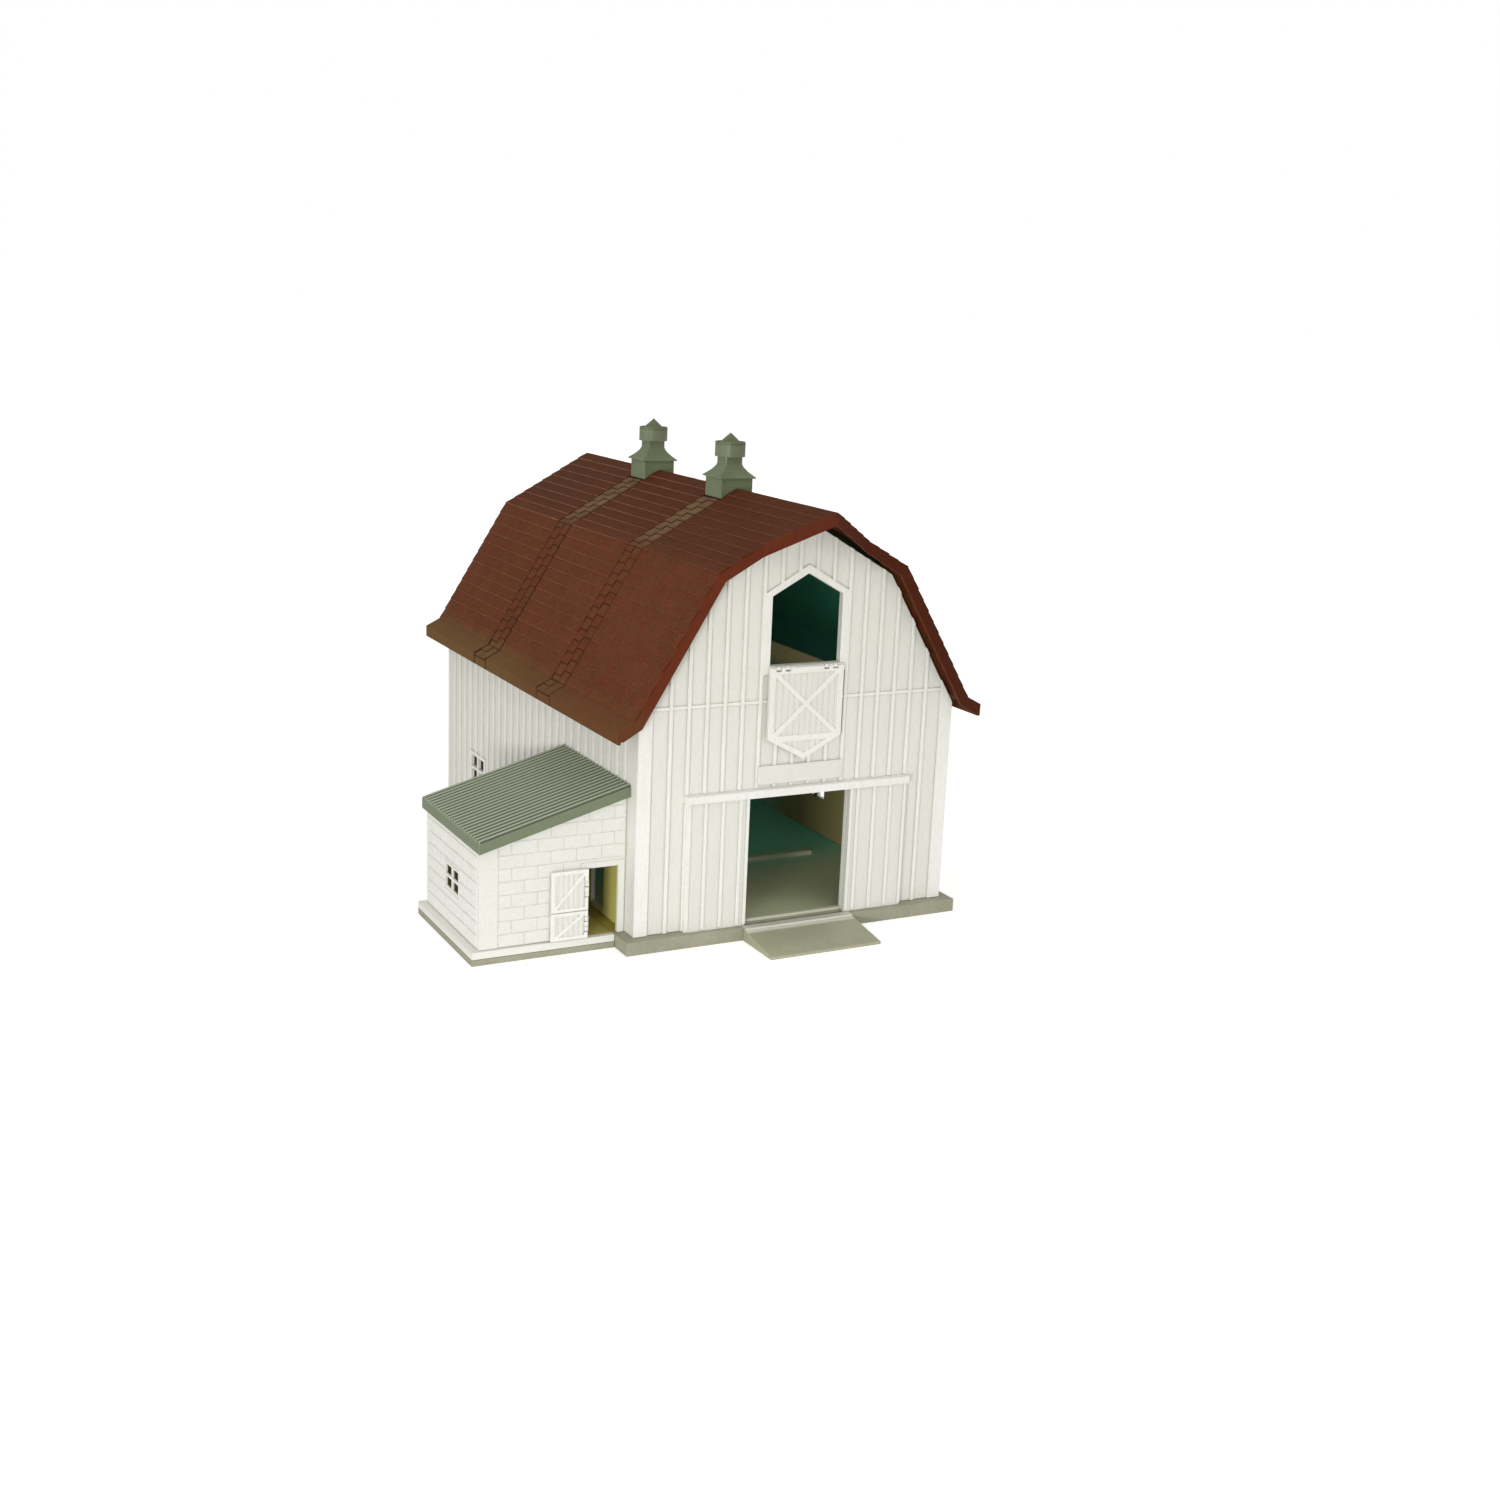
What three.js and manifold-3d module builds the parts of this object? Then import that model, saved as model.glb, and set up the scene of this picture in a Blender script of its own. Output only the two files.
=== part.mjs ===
// Toy barn with a milk house, sliding front doors, a drop-down hay door and a two-leaf dairy door.
// Sizes are in millimetres. X runs along the front, Y runs from the front to the back, Z is up.
// Pieces are laid out from the front left foot of the barn walls; the group at the end moves the
// origin to the middle of the underside of the base plate.

import * as THREE from 'three';
import { mergeVertices } from 'three/addons/utils/BufferGeometryUtils.js';
import Module from 'manifold-3d';

const wasm = await Module();
wasm.setup();

// Barn shell
const barnWidth = 172;
const barnLength = 267.5;
const wallHeight = 99.8;
const wallThickness = 2.4;
const seatGap = 0.3;
const overrun = 4;
const grid = 0.001;

// Cladding of the barn walls
const battenPitch = 9.3;
const battenWidth = 1.8;
const battenProud = 1;
const cornerBoardWidth = 7;
const seamHeight = 109.9;
const seamWidth = 1.4;
const seamProud = 0.7;

// Gambrel roof, each place given out from the side wall and up from its top
const roofThickness = 2;
const kneeInset = 35.2;
const kneeRise = 72.9;
const ridgeRise = 101.9;
const kinkOut = 4.7;
const kinkRise = 6.6;
const eaveOut = 13.1;
const eaveRise = 1.8;
const eaveLipDepth = 5.3;
const fasciaDepth = 5;
const fasciaThickness = 1.6;
const rearFasciaThickness = 1.1;
const gableDrop = 5.9;
const gableRibLap = 1.2;
const gableRibThickness = 1.6;
const gableRibFrom = 41.7;
const frontOverhang = 7.1;
const prowReach = 17.2;
const prowHalfWidth = 28.2;
const coursePitch = 6.6;
const courseButt = 0.5;
const courseHeadShare = 0.2;

// Cover strips over the joints between the three roof sections
const stripWidth = 17;
const stripSkin = 0.6;
const stripRecess = 1;
const stripButt = 0.5;
const stripColumnGap = 0.6;

// Roof ventilators
const saddleWidth = 17.7;
const saddleTop = 5;
const skirtOut = 1.3;
const skirtEdge = 0.6;
const neckWidth = 9.8;
const neckFoot = 11.8;
const neckTop = 21.6;
const flareSteps = 4;
const hoodSides = 20;
const hoodWidth = 15.4;
const hoodFoot = 15.4;
const hoodHeight = 7.4;
const hoodWall = 0.7;
const hoodFloor = 1.2;
const coneWidth = 12;
const coneHeight = 5.3;
const coneDrop = 0.9;
const spigotWidth = 6.4;
const spigotDepth = 2.4;

// Base plate, its underside and the entry ramp
const baseHeight = 6.5;
const baseSkin = 2.4;
const baseWall = 2;
const baseRib = 1.6;
const baseLedge = 5.6;
const baseFrontLedge = 6.4;
const ribBaysAcross = 4;
const ribBaysAlong = 6;
const sillHeight = 1.7;
const trackDepth = 1.1;
const kerbLength = 39.6;
const kerbWidth = 3;
const kerbHeight = 2.2;
const kerbFromFront = 86;
const kerbFromMiddle = 20.6;
const rampWidth = 60.4;
const rampReach = 28.6;
const rampSkin = 1.5;
const rampFoot = 1.4;
const rampDrop = 0.9;
const rampLip = 2.6;
const rampLipThickness = 1;

// Main doorway and its two sliding leaves
const doorwayWidth = 55.8;
const doorwayHeight = 63.8;
const slideLap = 4.6;
const slideThickness = 1.6;
const slideBattenProud = 0.6;
const slideTongue = 0.7;
const stileWidth = 1.6;
const slideBays = 3;
const trackWall = 0.8;
const trackHeight = 3.7;
const trackRoom = 0.5;
const headerWidth = 46.4;
const headerHeight = 9;
const headerFoot = 69.4;
const headerProud = 1.4;

// Hay opening in the gable and its drop-down leaf
const hayWidth = 38.2;
const hayHang = 2.7;
const haySide = 33.2;
const hayPeak = 10.4;
const casingWidth = 4.2;
const casingProud = 1;
const hayLap = 0.9;
const leafThickness = 1.2;
const leafRelief = 0.7;
const hayFrameWidth = 3;
const hayBraceWidth = 2.4;

// Hinges: barrels on a pin
const barrelRadius = 1.05;
const barrelBore = 0.6;
const pinRadius = 0.42;
const barrelLength = 2.2;
const barrelGap = 0.3;
const hingeSides = 12;
const hingeClearance = 0.35;
const leafRailLift = 0.3;
const hayLeafLift = 0.95;
const milkLeafLift = 0.5;
const hayHingeSpread = 26;
const armShare = 0.8;

// Windows of four panes
const windowWidth = 20.6;
const windowHeight = 14.6;
const windowFoot = 20.7;
const windowBar = 1.4;
const windowCasing = 1.8;
const windowFromFront = 36.1;
const windowSpacing = 89.4;
const milkWindowWidth = 17.6;
const milkWindowHeight = 10.8;
const milkWindowFoot = 18;
const milkWindowFromFront = 36.6;

// Milk house
const milkWidth = 72.7;
const milkDepth = 74.9;
const milkSetback = 9.5;
const milkWall = 2;
const milkLowTop = 53.2;
const milkHighTop = 73.7;
const milkRoofThickness = 1.8;
const milkRimDepth = 6.1;
const milkRimWall = 1.6;
const milkSideOverhang = 4;
const milkEndOverhang = 1.3;
const milkRibPitch = 3.77;
const milkRibHeight = 1.25;
const milkBaseLedge = 4;
const milkBaseFrontLedge = 2;
const milkCornerBoard = 9;

// Concrete blocks on the milk house
const blockLength = 12.7;
const blockHeight = 6.3;
const mortar = 0.5;
const blockProud = 0.4;
const blockReveal = 0.6;

// Dairy door: an opening with an upper and a lower leaf, and the doorway through to the barn
const milkDoorWidth = 16.1;
const milkDoorHeight = 33.7;
const milkDoorFromBarn = 3.9;
const milkDoorCasing = 3.2;
const milkLeafLap = 1.3;
const milkLeafFoot = 0.7;
const milkLeafTop = 34.4;
const milkLeafSplit = 14.4;
const milkLeafGap = 0.4;
const milkFrameWidth = 1.7;
const milkBraceWidth = 1.6;
const innerDoorWidth = 15.4;
const innerDoorHeight = 33;
const innerDoorFoot = 2.6;
const innerDoorFromFront = 35.3;

// Colours and finishes
const finishes = {
  wall: { color: 0xe9e7df, roughness: 0.55, metalness: 0 },
  door: { color: 0xeceae3, roughness: 0.55, metalness: 0 },
  roof: { color: 0x5d372a, roughness: 0.6, metalness: 0 },
  base: { color: 0x9b9c88, roughness: 0.6, metalness: 0 },
  ramp: { color: 0x85866f, roughness: 0.6, metalness: 0 },
  metalGreen: { color: 0x727b6a, roughness: 0.55, metalness: 0 },
  pin: { color: 0xb9bab4, roughness: 0.35, metalness: 0.9 },
};

const halfShare = 0.5;

// Solids from outlines

// Every point is put on a fine grid, so that faces that should meet lie in one plane
const snap = (value) => Math.round(value / grid) * grid;

// Gives each corner of a geometry its place and turns the result into a closed body
function solid(geometry, place) {
  const bare = geometry.clone();
  bare.deleteAttribute('normal');
  bare.deleteAttribute('uv');
  const merged = mergeVertices(bare);
  const corners = merged.attributes.position;
  const places = [];
  for (let i = 0; i < corners.count; i += 1) {
    places.push(...place(corners.getX(i), corners.getY(i), corners.getZ(i)).map(snap));
  }
  return new wasm.Manifold(new wasm.Mesh({
    numProp: 3,
    vertProperties: new Float32Array(places),
    triVerts: new Uint32Array(merged.index.array),
  }));
}

// An outline pushed along an axis: (y, z) along x, (x, z) along y or (x, y) along z
function prism(axis, outline, from, to) {
  const shape = new THREE.Shape(outline.map(([u, v]) => new THREE.Vector2(snap(u), snap(v))));
  const geometry = new THREE.ExtrudeGeometry(shape, { depth: 1, bevelEnabled: false });
  return solid(geometry, (u, v, share) => {
    const low = share < halfShare;
    if (axis === 'x') return [low ? from : to, u, v];
    if (axis === 'y') return [u, low ? to : from, v];
    return [u, v, low ? from : to];
  });
}

function box(xs, ys, zs) {
  const end = (range, side) => (side < 0 ? range[0] : range[1]);
  return solid(new THREE.BoxGeometry(1, 1, 1), (x, y, z) => [end(xs, x), end(ys, y), end(zs, z)]);
}

function join(solids) {
  return solids.reduce((whole, next) => whole.add(next));
}

function cut(whole, tools) {
  return tools.reduce((left, tool) => left.subtract(tool), whole);
}

// The mesh of a body, with corners closer than the grid made one and empty triangles left out
function geometryOf(manifold) {
  const mesh = manifold.getMesh();
  const raw = new THREE.BufferGeometry();
  raw.setAttribute('position', new THREE.BufferAttribute(mesh.vertProperties, 3));
  raw.setIndex(new THREE.BufferAttribute(mesh.triVerts, 1));
  const geometry = mergeVertices(raw, grid);
  const corners = geometry.index.array;
  const kept = [];
  for (let i = 0; i < corners.length; i += 3) {
    const [a, b, c] = corners.slice(i, i + 3);
    if (a !== b && b !== c && c !== a) kept.push(a, b, c);
  }
  geometry.setIndex(kept);
  geometry.computeVertexNormals();
  return geometry;
}

function piece(name, finish, geometry) {
  const mesh = new THREE.Mesh(geometry, new THREE.MeshStandardMaterial(finishes[finish]));
  mesh.name = name;
  return mesh;
}

// Outlines

function rectangle([u0, u1], [v0, v1]) {
  return [[u0, v0], [u1, v0], [u1, v1], [u0, v1]];
}

// A straight bar of a given width between two points
function bar([u0, v0], [u1, v1], width) {
  const length = Math.hypot(u1 - u0, v1 - v0);
  const du = -(v1 - v0) / length * width / 2;
  const dv = (u1 - u0) / length * width / 2;
  return [[u0 - du, v0 - dv], [u1 - du, v1 - dv], [u1 + du, v1 + dv], [u0 + du, v0 + dv]];
}

function mirrored(outline, middle) {
  return outline.map(([u, v]) => [2 * middle - u, v]).reverse();
}

// A pentagon with a square foot and a peaked top
function gablet(middle, halfWidth, foot, side, peak) {
  return [
    [middle - halfWidth, foot], [middle + halfWidth, foot], [middle + halfWidth, side],
    [middle, peak], [middle - halfWidth, side],
  ];
}

// Moves an open line of points sideways, with mitred corners; positive is to its left
function offsetLine(points, distance) {
  const normals = points.slice(1).map(([u, v], i) => {
    const du = u - points[i][0];
    const dv = v - points[i][1];
    const length = Math.hypot(du, dv);
    return [-dv / length, du / length];
  });
  return points.map(([u, v], i) => {
    const before = normals[Math.max(i - 1, 0)];
    const after = normals[Math.min(i, normals.length - 1)];
    const reach = distance / (1 + before[0] * after[0] + before[1] * after[1]);
    return [u + (before[0] + after[0]) * reach, v + (before[1] + after[1]) * reach];
  });
}

// Height of a line of points at a distance out from its start
function heightAt(points, out) {
  const last = points.length - 2;
  const found = points.findIndex(([u], i) => i > 0 && out <= u) - 1;
  const i = found < 0 ? last : found;
  const [[u0, v0], [u1, v1]] = [points[i], points[i + 1]];
  return v0 + (v1 - v0) * (out - u0) / (u1 - u0);
}

// Roof line, half of it, from the ridge down to the eave; places are out from the middle
const middleX = barnWidth / 2;
const roofLine = [
  [0, wallHeight + ridgeRise],
  [middleX - kneeInset, wallHeight + kneeRise],
  [middleX + kinkOut, wallHeight + kinkRise],
  [middleX + eaveOut, wallHeight + eaveRise],
];

// Turns a half line and its inner line into the closed outline of a bent band over the barn
function band(outer, inner) {
  const right = outer.map(([u, v]) => [middleX + u, v]);
  const left = mirrored(right, middleX);
  const rightIn = inner.map(([u, v]) => [middleX + u, v]);
  const leftIn = mirrored(rightIn, middleX);
  return [...left, ...right.slice(1), ...rightIn.reverse(), ...leftIn.reverse().slice(1)];
}

// Half a line moved sideways, with its first point on the middle plane again
function shifted(line, distance) {
  const moved = offsetLine(line, distance);
  const [[u0, v0], [u1, v1]] = moved;
  return [[0, v0 - (v1 - v0) * u0 / (u1 - u0)], ...moved.slice(1)];
}

function underside(depth) {
  return shifted(roofLine, -depth);
}

// Overlapping courses along a line: each rises from its head to its butt, phase as a share
function courses(line, pitch, butt, phaseShare) {
  const head = butt * courseHeadShare;
  const points = shifted(line, head).slice(0, 1);
  for (let s = 1; s < line.length; s += 1) {
    const [[u0, v0], [u1, v1]] = [line[s - 1], line[s]];
    const length = Math.hypot(u1 - u0, v1 - v0);
    const count = Math.max(1, Math.round(length / pitch));
    const out = [-(v1 - v0) / length, (u1 - u0) / length];
    const raised = (share, by) => [
      u0 + (u1 - u0) * share + out[0] * by, v0 + (v1 - v0) * share + out[1] * by,
    ];
    for (let i = 1 - phaseShare; i <= count; i += 1) {
      points.push(raised(i / count, butt), raised(i / count, head));
    }
    if (phaseShare > 0) points.push(raised(1, head + (butt - head) * (1 - phaseShare)));
  }
  points.push(line[line.length - 1]);
  return points;
}

// Places along the barn where one roof section ends and the next begins
const rearOverhang = battenProud + seatGap + rearFasciaThickness;
const roofLength = frontOverhang + barnLength + rearOverhang;
const joints = [1, 2].map((third) => roofLength * third / 3 - frontOverhang);

// Depth in the roof at which ribs and fascias are joined to it
const rootDepth = (roofThickness + stripRecess) / 2;

// A cross section of the roof under an outer line, with the lips that hang down at its eaves
function roofBand(outer) {
  const tip = middleX + eaveOut;
  const lipIn = tip - fasciaThickness;
  const lipFoot = wallHeight + eaveRise - eaveLipDepth;
  const inner = underside(roofThickness);
  const end = [tip, heightAt(outer.slice(-2), tip)];
  return band(
    [...outer.slice(0, -1), end, [tip, lipFoot]],
    [...inner.slice(0, -1), [lipIn, heightAt(inner, lipIn)], [lipIn, lipFoot]],
  );
}

// The roof is plain and lower where a cover strip lies in it, and free of shingles at a saddle
function roofSection(from, to, stripAtFront, stripAtBack) {
  const bareFront = stripAtFront ? stripWidth / 2 + seatGap : 0;
  const bareBack = stripAtBack ? stripWidth / 2 + seatGap : 0;
  const plain = roofBand(underside(stripRecess));
  const shingled = roofBand(courses(roofLine, coursePitch, courseButt, 0));
  const room = saddleWidth / 2 + seatGap;
  const saddles = joints.map((at) => box([middleX - room, middleX + room], [at - room, at + room],
    [wallHeight, wallHeight + ridgeRise + overrun]));
  return join([
    prism('y', plain, from, to),
    cut(prism('y', shingled, from + bareFront, to - bareBack), saddles),
    wallRib(from, to, false),
    wallRib(from, to, true),
  ]);
}

// The rib that rests on a side wall
function wallRib(from, to, left) {
  const root = underside(rootDepth);
  const foot = wallHeight + seatGap;
  const ribIn = middleX - wallThickness;
  const right = [
    [middleX, foot], [middleX, heightAt(root, middleX)], [ribIn, heightAt(root, ribIn)], [ribIn, foot],
  ].map(([u, v]) => [u + middleX, v]);
  const room = wallThickness + seatGap;
  return prism('y', left ? mirrored(right, middleX) : right,
    Math.max(from, room), Math.min(to, barnLength - room));
}

// A rib behind a gable wall, on the lower part of both slopes
function gableRib(from, to) {
  const bent = prism('y', band(underside(rootDepth), underside(gableDrop + gableRibLap)), from, to);
  const reach = middleX - wallThickness;
  const top = wallHeight + ridgeRise;
  return bent.intersect(join([
    box([middleX - reach, middleX - gableRibFrom], [from, to], [wallHeight + seatGap, top]),
    box([middleX + gableRibFrom, middleX + reach], [from, to], [wallHeight + seatGap, top]),
  ]));
}

const fasciaBand = band(underside(rootDepth), underside(fasciaDepth));

// The front section ends in a fascia that runs out to a point over the hay opening
function frontSection() {
  const tip = -frontOverhang - prowReach;
  const plan = (inset) => {
    const side = middleX + eaveOut + overrun;
    const front = -frontOverhang + inset;
    const slant = Math.hypot(prowHalfWidth, prowReach) / prowHalfWidth;
    return [
      [middleX - side, joints[0]], [middleX - side, front], [middleX - prowHalfWidth, front],
      [middleX, tip + inset * slant], [middleX + prowHalfWidth, front],
      [middleX + side, front], [middleX + side, joints[0]],
    ];
  };
  const top = wallHeight + ridgeRise + overrun;
  const outer = prism('z', plan(0), 0, top);
  const inner = prism('z', plan(fasciaThickness), 0, top);
  const fascia = prism('y', fasciaBand, tip, 0).subtract(inner);
  const cover = roofSection(tip, joints[0] - seatGap / 2, false, true);
  const ribFrom = wallThickness + seatGap;
  return join([cover, fascia, gableRib(ribFrom, ribFrom + gableRibThickness)]).intersect(outer);
}

function middleSection() {
  return roofSection(joints[0] + seatGap / 2, joints[1] - seatGap / 2, true, true);
}

function rearSection() {
  const end = barnLength + rearOverhang;
  const cover = roofSection(joints[1] + seatGap / 2, end, true, false);
  const ribTo = barnLength - wallThickness - seatGap;
  return join([
    cover, gableRib(ribTo - gableRibThickness, ribTo),
    prism('y', fasciaBand, end - rearFasciaThickness, end),
  ]);
}

// A strap let into the roof, with two columns of tiles in running bond on it
function coverStrip(at) {
  const foot = underside(stripRecess - seatGap);
  const skin = underside(stripRecess - seatGap - stripSkin);
  const strap = band(skin, foot);
  const half = stripWidth / 2;
  const columns = [
    [at - half, at - stripColumnGap / 2, 0],
    [at + stripColumnGap / 2, at + half, halfShare],
  ].map(([from, to, phaseShare]) => {
    const tiles = courses(skin, coursePitch, stripButt, phaseShare);
    return prism('y', band(tiles, foot), from, to);
  });
  const clear = saddleWidth / 2 + skirtOut;
  const ridge = wallHeight + ridgeRise;
  const seat = box(
    [middleX - clear, middleX + clear], [at - half - overrun, at + half + overrun],
    [ridge - clear - overrun, ridge + saddleTop],
  );
  return join([prism('y', strap, at - half, at + half), ...columns.map((c) => c.subtract(seat))]);
}

// Square and eight-sided rings for the ventilators

// Corner points of a square with its corners cut by a share of the side
function ring(width, cutShare, height) {
  const half = width / 2;
  const cutIn = half * (1 - cutShare);
  return [
    [half, -cutIn], [half, cutIn], [cutIn, half], [-cutIn, half],
    [-half, cutIn], [-half, -cutIn], [-cutIn, -half], [cutIn, -half],
  ].map(([x, y]) => new THREE.Vector3(x, y, height));
}

// A closed body through a stack of rings with the same number of points
function loft(rings) {
  const count = rings[0].length;
  const places = rings.flat().flatMap((p) => [p.x, p.y, p.z]);
  const faces = [];
  for (let r = 0; r + 1 < rings.length; r += 1) {
    for (let i = 0; i < count; i += 1) {
      const a = r * count + i;
      const b = r * count + (i + 1) % count;
      faces.push(a, b, b + count, a, b + count, a + count);
    }
  }
  for (let i = 1; i + 1 < count; i += 1) {
    const top = (rings.length - 1) * count;
    faces.push(0, i + 1, i, top, top + i, top + i + 1);
  }
  return new wasm.Manifold(new wasm.Mesh({
    numProp: 3,
    vertProperties: new Float32Array(places),
    triVerts: new Uint32Array(faces),
  }));
}

const ridgeTop = wallHeight + ridgeRise;
const octagonShare = 2 - Math.SQRT2;
const sharpShare = 0.02;
const neckCutShare = 0.12;
const flareBendShare = 1.5;

function cupolaBody() {
  const foot = -saddleWidth / 2;
  const skirtWidth = saddleWidth + 2 * skirtOut;
  const saddle = loft([
    ring(saddleWidth, sharpShare, foot), ring(saddleWidth, sharpShare, saddleTop),
  ]);
  const flare = [];
  for (let i = 0; i <= flareSteps; i += 1) {
    const share = i / flareSteps;
    const pull = 1 - (1 - share) ** flareBendShare;
    flare.push(ring(
      skirtWidth + (neckWidth - skirtWidth) * pull,
      sharpShare + (neckCutShare - sharpShare) * share,
      saddleTop + skirtEdge + (neckFoot - saddleTop - skirtEdge) * share,
    ));
  }
  const top = loft([
    ring(skirtWidth, sharpShare, saddleTop), ...flare,
    ring(neckWidth, neckCutShare, neckTop - hoodFloor - seatGap),
  ]);
  const socket = loft([
    ring(spigotWidth + 2 * seatGap, octagonShare, neckTop - hoodFloor - seatGap - spigotDepth),
    ring(spigotWidth + 2 * seatGap, octagonShare, neckTop + overrun),
  ]);
  return join([saddle, top]).subtract(socket);
}

// Points of a regular ring of many sides
function roundRing(width, height) {
  return Array.from({ length: hoodSides }, (_, i) => {
    const turn = (i + halfShare) / hoodSides * 2 * Math.PI;
    return new THREE.Vector3(width / 2 * Math.cos(turn), width / 2 * Math.sin(turn), height);
  });
}

function cupolaCap() {
  const top = hoodFoot + hoodHeight;
  const floorFoot = neckTop - hoodFloor;
  const innerWidth = hoodWidth - 2 * hoodWall;
  const outer = loft([roundRing(hoodWidth, hoodFoot), roundRing(hoodWidth, top)]);
  const room = loft([roundRing(innerWidth, hoodFoot - overrun), roundRing(innerWidth, top + overrun)]);
  const floor = loft([
    roundRing(innerWidth + hoodWall, floorFoot), roundRing(innerWidth + hoodWall, neckTop),
  ]);
  const coneFoot = top - coneDrop;
  const cone = loft([
    roundRing(coneWidth, neckTop - hoodFloor / 2), roundRing(coneWidth, coneFoot),
    roundRing(coneWidth * sharpShare, coneFoot + coneHeight),
  ]);
  const spigot = loft([
    ring(spigotWidth, octagonShare, floorFoot - spigotDepth + seatGap),
    ring(spigotWidth, octagonShare, neckTop - hoodFloor / 2),
  ]);
  return join([outer.subtract(room), floor, cone, spigot]);
}

// Straddles the ridge: the saddle is cut to the roof with the strap under it
function cupola(name, at) {
  const above = shifted(roofLine, stripSkin + 2 * seatGap - stripRecess);
  const half = saddleWidth;
  const peak = above[0][1] - ridgeTop;
  const side = heightAt(above, half) - ridgeTop;
  const deep = side - saddleWidth;
  const roof = prism('y', [[-half, deep], [half, deep], [half, side], [0, peak], [-half, side]],
    -half, half);
  const place = (geometry) => geometry.translate(middleX, at, ridgeTop);
  return [
    piece(`${name}_cupola_body`, 'metalGreen', place(geometryOf(cupolaBody().subtract(roof)))),
    piece(`${name}_cupola_cap`, 'metalGreen', place(geometryOf(cupolaCap()))),
  ];
}

// Barn walls

const gableTop = underside(gableDrop);
const gableSide = heightAt(gableTop, middleX);
const gable = [
  [0, seatGap], [barnWidth, seatGap], [barnWidth, gableSide],
  [middleX + gableTop[1][0], gableTop[1][1]], [middleX, gableTop[0][1]],
  [middleX - gableTop[1][0], gableTop[1][1]], [0, gableSide],
];

const hayHalf = hayWidth / 2;
// The open leaf ends a little over the header board, and its length sets the opening's foot
const hayFoot = headerFoot + headerHeight + hayHang + 2 * barrelRadius + haySide + hayPeak + seatGap;
const haySideTop = hayFoot + haySide;
const hayTop = haySideTop + hayPeak;
const hayOpening = gablet(middleX, hayHalf, hayFoot, haySideTop, hayTop);
const casingOutline = gablet(
  middleX, hayHalf + casingWidth, hayFoot - casingWidth, haySideTop + casingWidth / 4,
  hayTop + casingWidth,
);
const doorwayLeft = middleX - doorwayWidth / 2;
const doorwayRight = middleX + doorwayWidth / 2;
const doorway = rectangle([doorwayLeft, doorwayRight], [-overrun, doorwayHeight]);
const header = rectangle(
  [middleX - headerWidth / 2, middleX + headerWidth / 2], [headerFoot, headerFoot + headerHeight],
);

// Evenly spaced battens between two edges, with a bay in the middle
function battenPlaces(from, to, pitch) {
  const bays = Math.max(1, Math.round((to - from) / pitch));
  return Array.from({ length: bays - 1 }, (_, i) => from + (to - from) * (i + 1) / bays);
}

// Cladding on a gable wall: corner boards, battens and the seam rail, on the plane at the given y
function gableCladding(face, outward) {
  const skin = [face, face + outward * battenProud].sort((a, b) => a - b);
  const thin = [face, face + outward * seamProud].sort((a, b) => a - b);
  const top = gableTop[0][1] + overrun;
  const strips = battenPlaces(cornerBoardWidth, barnWidth - cornerBoardWidth, battenPitch)
    .map((x) => box([x - battenWidth / 2, x + battenWidth / 2], skin, [0, top]));
  const corners = [
    box([0, cornerBoardWidth], skin, [0, top]),
    box([barnWidth - cornerBoardWidth, barnWidth], skin, [0, top]),
  ];
  const seam = box(
    [cornerBoardWidth, barnWidth - cornerBoardWidth], thin,
    [seamHeight - seamWidth / 2, seamHeight + seamWidth / 2],
  );
  const shape = prism('y', gable, skin[0] - overrun, skin[1] + overrun);
  return join([...strips, ...corners, seam]).intersect(shape);
}

const slideTop = doorwayHeight + trackHeight - trackWall - trackRoom;
const slideBack = -battenProud - seatGap;
const trackFront = slideBack - slideThickness - slideBattenProud - seatGap - trackWall;
const slideWidth = doorwayWidth / 2 + slideLap;
const trackLeft = doorwayLeft - slideWidth;
const trackRight = doorwayRight + slideWidth;

function frontWall() {
  const face = -battenProud;
  const panel = prism('y', gable, 0, wallThickness);
  const bare = [
    prism('y', casingOutline, face - overrun, 0),
    prism('y', header, face - overrun, 0),
    prism('y', rectangle([trackLeft - trackWall - seatGap, trackRight + trackWall + seatGap],
      [doorwayHeight - seatGap, doorwayHeight + trackHeight + seatGap]), face - overrun, 0),
  ];
  const cladding = cut(gableCladding(0, -1), bare);
  const casing = prism('y', casingOutline, -casingProud, 0);
  const headerBoard = prism('y', header, -headerProud, 0);
  const through = [
    prism('y', hayOpening, -casingProud - overrun, wallThickness + overrun),
    prism('y', doorway, -casingProud - overrun, wallThickness + overrun),
  ];
  return cut(join([panel, cladding, casing, headerBoard, ...hayBarrels()]), through);
}

function rearWall() {
  const panel = prism('y', gable, barnLength - wallThickness, barnLength);
  return join([panel, gableCladding(barnLength, 1)]);
}

// Four panes in a side wall, as cuts, with the casing that stands round them
function panes(xRange, y, z, width, height, bars) {
  const cuts = [];
  const paneWidth = (width - bars) / 2;
  const paneHeight = (height - bars) / 2;
  for (const column of [0, 1]) {
    for (const row of [0, 1]) {
      const y0 = y - width / 2 + column * (paneWidth + bars);
      const z0 = z + row * (paneHeight + bars);
      cuts.push(box(xRange, [y0, y0 + paneWidth], [z0, z0 + paneHeight]));
    }
  }
  return cuts;
}

function surround(y, z, width, height, by) {
  return rectangle([y - width / 2 - by, y + width / 2 + by], [z - by, z + height + by]);
}

const sideFrom = wallThickness + seatGap;
const sideTo = barnLength - wallThickness - seatGap;
const windowPlaces = [0, 1, 2].map((i) => windowFromFront + i * windowSpacing);

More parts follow.
